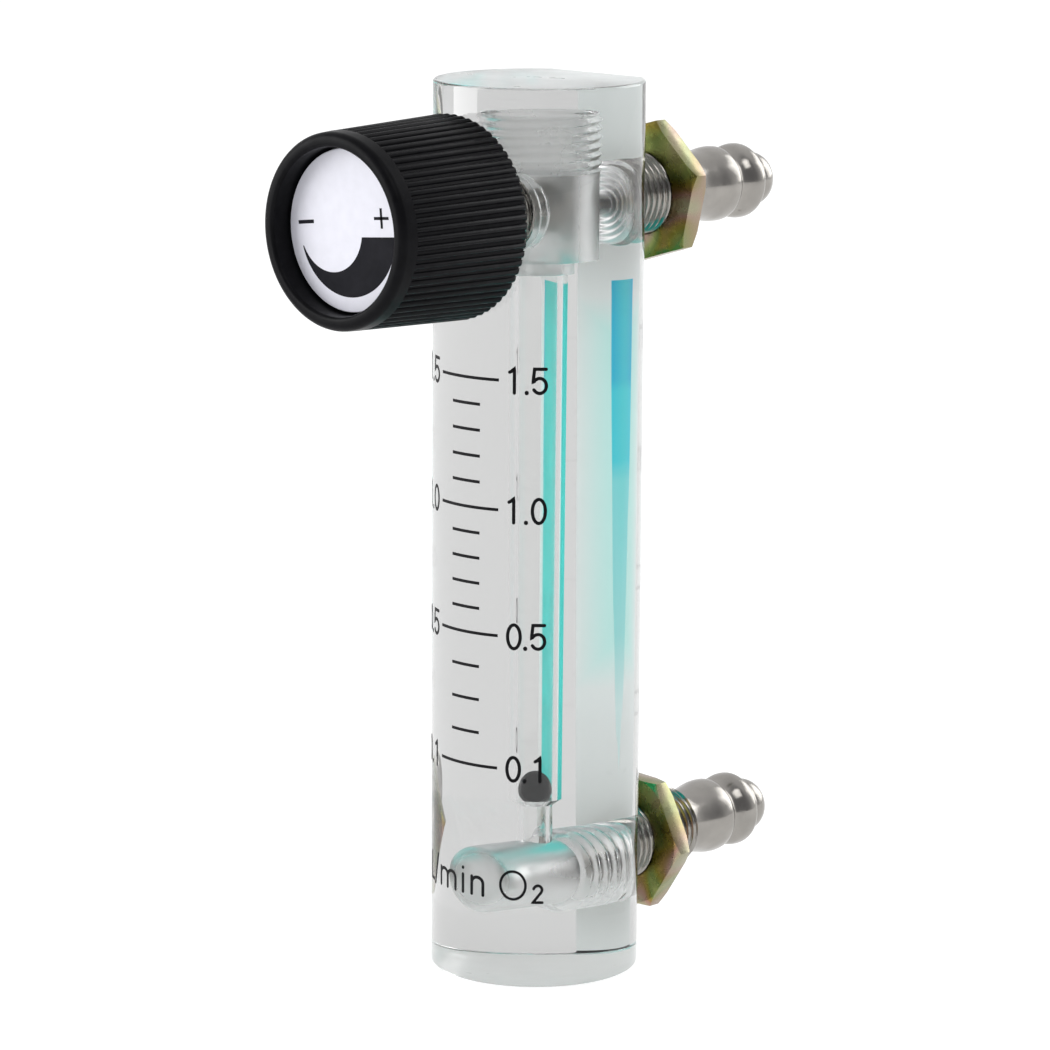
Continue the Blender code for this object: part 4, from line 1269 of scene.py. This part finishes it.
class FLOWMETER_OT_valve(Operator):
    """Make the bush, its packing, the spindle and the needle"""

    bl_idname = "flowmeter.valve"
    bl_label = "Valve"

    def execute(self, context):
        nickel = once(bright_nickel)
        rubber = once(moulded_rubber)
        pitch = settings().body.thread_pitch
        crest, root = stem_radii()
        stem_end = -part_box("valve_bush")[1].y
        neck_top = -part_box("valve_bush")[0].y
        head_foot = BODY_RADIUS - 1.7 * MM
        head_top = head_foot + 2.0 * MM
        neck, bore, shaft_hole = 4.0 * MM, 3.3 * MM, 2.15 * MM
        web_back, web_front = 11.6 * MM, 13.1 * MM
        thread_end = 9.0 * MM
        neck_foot = head_foot + 1.0 * MM
        bush = chamfered_hex("bush", 11.0 * MM, head_foot, head_top, 0.5 * MM, VALVE_AXIS, 0.0, [nickel],
                             both=False)
        stem = [(stem_end, 0.0), (stem_end, root - 0.3 * MM)]
        stem += threaded(stem_end, thread_end, crest, root, pitch)[1:]
        stem += [(thread_end + 0.1 * MM, root), (neck_foot, root), (neck_foot, neck),
                 (neck_top - 0.2 * MM, neck), (neck_top, neck - 0.2 * MM), (neck_top, 0.0)]
        boolean(bush, turned("add_stem", stem, [nickel], VALVE_AXIS), "UNION")
        hollow = [(stem_end - CUT_OVERSHOOT, 0.0), (stem_end - CUT_OVERSHOOT, bore), (web_back, bore),
                  (web_back, shaft_hole), (web_front, shaft_hole), (web_front, bore),
                  (neck_top + CUT_OVERSHOOT, bore), (neck_top + CUT_OVERSHOOT, 0.0)]
        boolean(bush, turned("cut_bore", hollow, [nickel], VALVE_AXIS))
        shade(bush)
        dress(bush, "root", "nickel_plate", "valve_bush")

        for name, node in (("bush_seal", "bush_o_ring"), ("shaft_seal", "spindle_o_ring")):
            dress(o_ring(name, node, rubber), "root", "black_rubber", node)

        packing_hole, cup = 2.2 * MM, 4.2 * MM
        low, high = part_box("gland_washer")
        washer = turned("packing_washer", [
            (-high.y, packing_hole), (-high.y, high.x), (-low.y, high.x), (-low.y, packing_hole)],
            [once(cut_nylon)], VALVE_AXIS)
        dress(washer, "root", "white_nylon", "gland_washer")

        low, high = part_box("gland_nut")
        gland = chamfered_hex("packing_nut", 10.0 * MM, -high.y, -low.y, 0.5 * MM, VALVE_AXIS, 0.0, [nickel],
                              both=False)
        inner_face = -low.y - 1.0 * MM
        hollow = [(-high.y - CUT_OVERSHOOT, 0.0), (-high.y - CUT_OVERSHOOT, cup), (inner_face, cup),
                  (inner_face, packing_hole), (-low.y + CUT_OVERSHOOT, packing_hole),
                  (-low.y + CUT_OVERSHOOT, 0.0)]
        boolean(gland, turned("cut_hollow", hollow, [nickel], VALVE_AXIS))
        shade(gland)
        dress(gland, "root", "nickel_plate", "gland_nut")

        spindle_end = -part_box("valve_spindle")[1].y
        shaft_top = -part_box("valve_spindle")[0].y
        thread_top = spindle_end + 10.6 * MM
        spindle_crest, spindle_root, spindle_pitch = 3.13 * MM, 2.62 * MM, 1.0 * MM
        face_radius, shaft, chamfer = 2.6 * MM, 2.0 * MM, 0.3 * MM
        socket_end, socket = spindle_end + 3.8 * MM, 1.2 * MM
        screw_end, screw_hole = shaft_top - 6.0 * MM, 1.3 * MM
        profile = [(socket_end, 0.0), (socket_end, socket), (spindle_end, socket), (spindle_end, face_radius)]
        profile += threaded(spindle_end, thread_top, spindle_crest, spindle_root, spindle_pitch)[1:-1]
        profile += [(thread_top, face_radius), (thread_top, shaft), (shaft_top - chamfer, shaft),
                    (shaft_top, shaft - chamfer), (shaft_top, screw_hole), (screw_end, screw_hole),
                    (screw_end, 0.0)]
        spindle = turned("spindle", profile, [nickel], VALVE_AXIS)
        flat_length = 8.0 * MM
        size = Vector((4 * MM, 8 * MM, flat_length + CUT_OVERSHOOT))
        centre = Vector((1.5 * MM + size.x / 2, 0, shaft_top - flat_length + size.z / 2))
        boolean(spindle, block_cutter("cut_flat", size, centre, nickel))
        shade(spindle)
        dress(spindle, "knob", "nickel_plate", "valve_spindle")

        tip = -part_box("valve_needle")[1].y
        shank_top = -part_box("valve_needle")[0].y
        shoulder = spindle_end - 0.1 * MM
        tip_round, widest, shank, edge = 0.4 * MM, 1.5 * MM, 1.1 * MM, 0.1 * MM
        needle = turned("needle", [
            (tip, 0.0), *arc((tip + tip_round, 0.3 * MM), tip_round, 180, 100, 5),
            (shoulder - 0.6 * MM, widest), (shoulder - edge, widest), (shoulder, widest - edge),
            (shoulder, shank), (shank_top, shank), (shank_top, 0.0)],
            [once(turned_brass)], VALVE_AXIS)
        dress(needle, "needle", "bare_brass", "valve_needle")
        return {"FINISHED"}


# Knob

def crest_radius(along):
    """Radius over the ribs, which taper toward the front."""
    knob = settings().knob
    part = (along - KNOB_BACK) / (KNOB_FRONT - KNOB_BACK)
    return knob.back_radius + (knob.front_radius - knob.back_radius) * part


def knob_shell(material):
    """Hollow knob with a smooth rounded rim, a web, and a hub for the shaft."""
    knob = settings().knob
    rib_end = KNOB_FRONT - knob.smooth_band
    disc_seat = DISC_FACE - 1.3 * MM
    rim_inner = 9.6 * MM
    well_foot, well = 27.0 * MM, 3.4 * MM
    shaft_end, shaft_hole, screw_hole = 25.8 * MM, 2.15 * MM, 1.5 * MM
    hub_back, hub = 17.6 * MM, 5.0 * MM
    web_back, skirt = 28.2 * MM, 10.05 * MM
    lip = knob.rim_round
    back_edge = 0.25 * MM
    root_back = crest_radius(KNOB_BACK) - knob.rib_depth
    root_front = crest_radius(rib_end) - knob.rib_depth
    band = crest_radius(rib_end)
    profile = [(KNOB_BACK + back_edge, root_back), (rib_end, root_front)]
    profile += [(rib_end + 0.05 * MM, band - 0.1 * MM), (rib_end + 0.15 * MM, band)]
    profile += [(KNOB_FRONT - lip + dx, knob.front_radius - lip + dr)
                for dx, dr in arc((0, 0), lip, 90, 0, 8)]
    profile += [(KNOB_FRONT - 0.5 * lip + dx, rim_inner + 0.5 * lip + dr)
                for dx, dr in arc((0, 0), 0.5 * lip, 0, -90, 6)]
    profile += [
        (disc_seat + 0.1 * MM, rim_inner),
        (disc_seat, rim_inner - 0.1 * MM),
        (disc_seat, well),
        (well_foot, well),
        (well_foot, screw_hole),
        (shaft_end, screw_hole),
        (shaft_end, shaft_hole),
        (hub_back, shaft_hole),
        (hub_back, hub),
        (web_back, hub),
        (web_back, rim_inner),
        (KNOB_BACK, skirt),
        (KNOB_BACK, root_back - back_edge),
    ]
    return turned("knob_shell", profile, [material], VALVE_AXIS, 198)


def rib(material):
    """One rib at angle nought, along local Z, sunk a little into the shell."""
    knob = settings().knob
    rib_end = KNOB_FRONT - knob.smooth_band
    half = 0.36 * math.tau / knob.rib_count
    steps = 6
    ends = [(KNOB_BACK, -0.15), (KNOB_BACK + 0.15 * MM, 0.55), (KNOB_BACK + 0.45 * MM, 1.0),
            (rib_end + 0.12 * MM, 1.0)]
    bm = bmesh.new()
    rings = []
    for along, fullness in ends:
        crest = crest_radius(along)
        root = crest - knob.rib_depth
        ring = []
        for step in range(steps + 1):
            part = 2 * step / steps - 1
            rise = knob.rib_depth * math.cos(part * math.pi / 2) ** 0.7 * fullness
            turn = half * part
            ring.append(bm.verts.new(((root + rise) * math.cos(turn), (root + rise) * math.sin(turn), along)))
        for turn in (half, -half):
            sunk = root - 0.1 * MM
            ring.append(bm.verts.new((sunk * math.cos(turn), sunk * math.sin(turn), along)))
        rings.append(ring)
    for lower, upper in zip(rings, rings[1:]):
        bridge(bm, lower, upper)
    bm.faces.new(reversed(rings[0]))
    bm.faces.new(rings[-1])
    return finish_mesh("rib", bm, [material])


def rib_tree():
    """Tree that sets copies of a rib evenly around the valve's axis."""
    tree, keys = tree_with("knob_ribs", {
        "Rib": "NodeSocketObject", "Count": "NodeSocketInt", "Axis Height": "NodeSocketFloat",
        "Plastic": "NodeSocketMaterial"})
    add = tree.nodes.new
    link = tree.links.new
    inputs = add("NodeGroupInput").outputs
    source = add("GeometryNodeObjectInfo")
    link(inputs["Rib"], source.inputs["Object"])
    points = add("GeometryNodePoints")
    link(inputs["Count"], points.inputs["Count"])
    index = add("GeometryNodeInputIndex").outputs["Index"]
    turn = calculate(tree, "MULTIPLY", calculate(tree, "DIVIDE", math.tau, inputs["Count"]), index)
    about = add("ShaderNodeCombineXYZ")
    link(turn, about.inputs["Z"])
    copies = add("GeometryNodeInstanceOnPoints")
    link(points.outputs["Points"], copies.inputs["Points"])
    link(source.outputs["Geometry"], copies.inputs["Instance"])
    link(about.outputs["Vector"], copies.inputs["Rotation"])
    real = add("GeometryNodeRealizeInstances")
    link(copies.outputs["Instances"], real.inputs["Geometry"])
    height = add("ShaderNodeCombineXYZ")
    link(inputs["Axis Height"], height.inputs["Z"])
    placed = add("GeometryNodeTransform")
    placed.inputs["Rotation"].default_value = (math.radians(90.0), 0, 0)
    link(real.outputs["Geometry"], placed.inputs["Geometry"])
    link(height.outputs["Vector"], placed.inputs["Translation"])
    plastic = add("GeometryNodeSetMaterial")
    link(placed.outputs["Geometry"], plastic.inputs["Geometry"])
    link(inputs["Plastic"], plastic.inputs["Material"])
    link(plastic.outputs["Geometry"], add("NodeGroupOutput").inputs["Geometry"])
    return tree, keys


def printed_shape(name, outline, material):
    """Thin closed shape on the disc's face, from an outline as (right, up) seen from the front."""
    ink = 0.02 * MM
    bm = bmesh.new()
    rings = [[bm.verts.new((right, -(DISC_FACE + depth), OUTLET_HEIGHT + up)) for right, up in outline]
             for depth in (-ink, ink)]
    bridge(bm, *rings)
    bm.faces.new(reversed(rings[0]))
    bm.faces.new(rings[-1])
    return finish_mesh(name, bm, [material])


def bar_points(start, end, width):
    """Corners of a straight bar between two points."""
    direction = (Vector(end) - Vector(start)).normalized()
    side = Vector((-direction.y, direction.x)) * width / 2
    return [tuple(Vector(start) + side), tuple(Vector(start) - side), tuple(Vector(end) - side),
            tuple(Vector(end) + side)]


class FLOWMETER_OT_knob(Operator):
    """Make the ribbed knob, its disc, screw and washer"""

    bl_idname = "flowmeter.knob"
    bl_label = "Knob"

    def execute(self, context):
        plastic = once(knob_plastic)
        shell = knob_shell(plastic)
        dress(shell, "knob", "knob_black", "knob")
        source = rib(plastic)
        tree, keys = rib_tree()
        ribs = bake_tree("knob_ribs", tree, keys, {
            "Rib": source, "Count": settings().knob.rib_count, "Axis Height": OUTLET_HEIGHT,
            "Plastic": plastic})
        bpy.data.objects.remove(source)
        shade(ribs, math.radians(50.0))
        dress(ribs, "knob", "knob_black")

        low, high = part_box("knob_disc")
        radius = high.x
        edge = 0.08 * MM
        disc = turned("marked_disc", [
            (-high.y, 0.0), (-high.y, radius - edge), (-high.y + edge, radius), (-low.y - edge, radius),
            (-low.y, radius - edge), (-low.y, 0.0)], [once(disc_plastic)], VALVE_AXIS, 128)
        dress(disc, "knob", "disc_white", "knob_disc")

        ink = once(disc_ink)
        inner, outer = 4.95 * MM, 7.6 * MM
        wedge = oval((-2.7 * MM, -0.05 * MM), inner, inner, -6.0, -152.0, 48)
        wedge += oval((0.0, 0.0), outer, outer, -161.5, -0.5, 64)
        minus = bar_points((-7.92 * MM, 0.23 * MM), (-5.46 * MM, 0.54 * MM), 0.42 * MM)
        plus_across = bar_points((4.16 * MM, 1.74 * MM), (6.44 * MM, 1.96 * MM), 0.34 * MM)
        plus_upright = bar_points((5.41 * MM, 0.71 * MM), (5.19 * MM, 2.99 * MM), 0.34 * MM)
        marks = [printed_shape("mark", outline, ink) for outline in (wedge, minus, plus_across, plus_upright)]
        dress(join("disc_marks", marks), "knob", "knob_black")

        steel = once(plain_steel)
        low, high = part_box("knob_washer")
        hole = 1.35 * MM
        washer = turned("screw_washer", [
            (-high.y, hole), (-high.y, high.x), (-low.y, high.x), (-low.y, hole)], [steel], VALVE_AXIS)
        dress(washer, "knob", "screw_steel", "knob_washer")
        low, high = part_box("knob_screw")
        head = high.x
        head_top = -low.y
        head_foot = head_top - 1.6 * MM
        slot_width, slot_depth = 0.7 * MM, 0.8 * MM
        profile = [(-high.y, 0.0), (-high.y, 0.9 * MM)]
        profile += threaded(-high.y, head_foot - 0.3 * MM, 1.2 * MM, 0.95 * MM, 0.45 * MM)[1:]
        profile += [(head_foot, 1.1 * MM), (head_foot, head - 0.1 * MM), (head_foot + 0.1 * MM, head),
                    (head_top - 0.8 * MM, head), (head_top - 0.4 * MM, 0.92 * head), (head_top, 0.7 * head),
                    (head_top, 0.0)]
        screw = turned("disc_screw", profile, [steel], VALVE_AXIS, 64)
        size = Vector((4 * head, slot_width, slot_depth + CUT_OVERSHOOT))
        centre = Vector((0, 0, head_top - slot_depth + size.z / 2))
        boolean(screw, block_cutter("cut_slot", size, centre, steel))
        shade(screw)
        dress(screw, "knob", "screw_steel", "knob_screw")
        return {"FINISHED"}


# Stage

def area_light(name, place, aim, size, watts):
    """Square soft light at a place, turned toward a point."""
    light = bpy.data.lights.new(name, "AREA")
    light.size = size
    light.energy = watts
    item = bpy.data.objects.new(name, light)
    item.location = place
    item.rotation_mode = "QUATERNION"
    item.rotation_quaternion = (Vector(aim) - Vector(place)).to_track_quat("-Z", "Y")
    bpy.context.scene.collection.objects.link(item)


def studio_sky():
    """White behind the bar, a little darker above the horizon and much darker behind the camera."""
    stage = settings().stage
    world = bpy.data.worlds.new("studio_sky")
    world.use_nodes = True
    tree = world.node_tree
    height = ramp(tree, coordinates(tree, "Generated")["Z"], [
        (0.0, (1.0, 1.0, 1.0)), (0.30, (0.90, 0.90, 0.91)), (1.0, (0.95, 0.95, 0.96))])
    ahead = tree.nodes.new("ShaderNodeVectorMath")
    ahead.operation = "DOT_PRODUCT"
    ahead.inputs[1].default_value = (-math.sin(stage.azimuth), math.cos(stage.azimuth), 0)
    tree.links.new(tree.nodes.new("ShaderNodeTexCoord").outputs["Generated"], ahead.inputs[0])
    side = ramp(tree, between(tree, ahead.outputs["Value"], -1.0, 1.0), [
        (0.0, (0.24, 0.24, 0.25)), (0.35, (0.36, 0.36, 0.37)), (0.50, (0.82, 0.82, 0.83)),
        (0.85, (1.0, 1.0, 1.0))])
    background = tree.nodes["Background"]
    background.inputs["Strength"].default_value = stage.sky_strength
    tree.links.new(mixed(tree, 1.0, height, side, "MULTIPLY"), background.inputs["Color"])
    bpy.context.scene.world = world


class FLOWMETER_OT_stage(Operator):
    """Make the pale floor, the soft light and the camera"""

    bl_idname = "flowmeter.stage"
    bl_label = "Stage"

    def execute(self, context):
        stage = settings().stage
        bm = bmesh.new()
        bmesh.ops.create_circle(bm, cap_ends=True, radius=4.0, segments=96,
                                matrix=Matrix.Translation((0, 0, -0.05 * MM)))
        mesh = bpy.data.meshes.new("floor")
        bm.to_mesh(mesh)
        bm.free()
        mesh.materials.append(once(floor_paint))
        add_object("floor", mesh)

        middle = Vector((0, 0, BODY_TOP / 2))
        area_light("key_light", (-0.85, -0.85, 0.38), middle, 0.8, 9.0)
        area_light("rim_light", (0.55, -0.25, 0.90), middle, 0.45, 1.8)
        area_light("back_light", (0.25, 1.05, 0.50), middle, 0.8, 5.5)
        studio_sky()

        scene = context.scene
        data = bpy.data.cameras.new("camera")
        data.lens = stage.lens
        data.sensor_width = 36.0
        data.clip_start = 0.02
        data.clip_end = 20.0
        camera = bpy.data.objects.new("camera", data)
        scene.collection.objects.link(camera)
        turn, rise = stage.azimuth, stage.elevation
        back = Vector((math.sin(turn) * math.cos(rise), -math.cos(turn) * math.cos(rise), math.sin(rise)))
        right = Vector((math.cos(turn), math.sin(turn), 0))
        up = back.cross(right)
        tilted_right = math.cos(stage.roll) * right + math.sin(stage.roll) * up
        tilted_up = -math.sin(stage.roll) * right + math.cos(stage.roll) * up
        target = Vector((stage.target_side, 0, stage.target_height))
        pose = Matrix((tilted_right, tilted_up, back)).transposed().to_4x4()
        pose.translation = target + back * stage.distance
        camera.matrix_world = pose
        scene.camera = camera

        scene.view_settings.view_transform = "Standard"
        scene.cycles.max_bounces = 32
        scene.cycles.transmission_bounces = 32
        scene.cycles.glossy_bounces = 16
        return {"FINISHED"}


class FLOWMETER_PT_sidebar(Panel):
    """Panel that lists the flowmeter's settings and pieces"""

    bl_idname = "FLOWMETER_PT_sidebar"
    bl_label = "Oxygen Flowmeter"
    bl_space_type = "VIEW_3D"
    bl_region_type = "UI"
    bl_category = "Flowmeter"

    def draw(self, context):
        for operator in OPERATORS:
            self.layout.operator(operator.bl_idname)
        for label in ("body", "scale", "metal", "knob", "stage"):
            group = getattr(context.scene.flowmeter, label)
            box = self.layout.box()
            box.label(text=label.title())
            for name in group.__annotations__:
                box.prop(group, name)


OPERATORS = (FLOWMETER_OT_clear_body, FLOWMETER_OT_float, FLOWMETER_OT_scale, FLOWMETER_OT_fittings,
             FLOWMETER_OT_valve, FLOWMETER_OT_knob, FLOWMETER_OT_stage)
CLASSES = (BodySettings, ScaleSettings, MetalSettings, KnobSettings, StageSettings, FlowmeterSettings,
           *OPERATORS, FLOWMETER_PT_sidebar)


def register():
    """Register the classes and the scene's settings."""
    for item in CLASSES:
        bpy.utils.register_class(item)
    bpy.types.Scene.flowmeter = PointerProperty(type=FlowmeterSettings)


def unregister():
    """Undo what register does."""
    del bpy.types.Scene.flowmeter
    for item in reversed(CLASSES):
        bpy.utils.unregister_class(item)


def main():
    """Make every piece in order."""
    register()
    bpy.ops.flowmeter.clear_body()
    bpy.ops.flowmeter.float()
    bpy.ops.flowmeter.scale()
    bpy.ops.flowmeter.fittings()
    bpy.ops.flowmeter.valve()
    bpy.ops.flowmeter.knob()
    bpy.ops.flowmeter.stage()


if __name__ == "__main__":
    main()
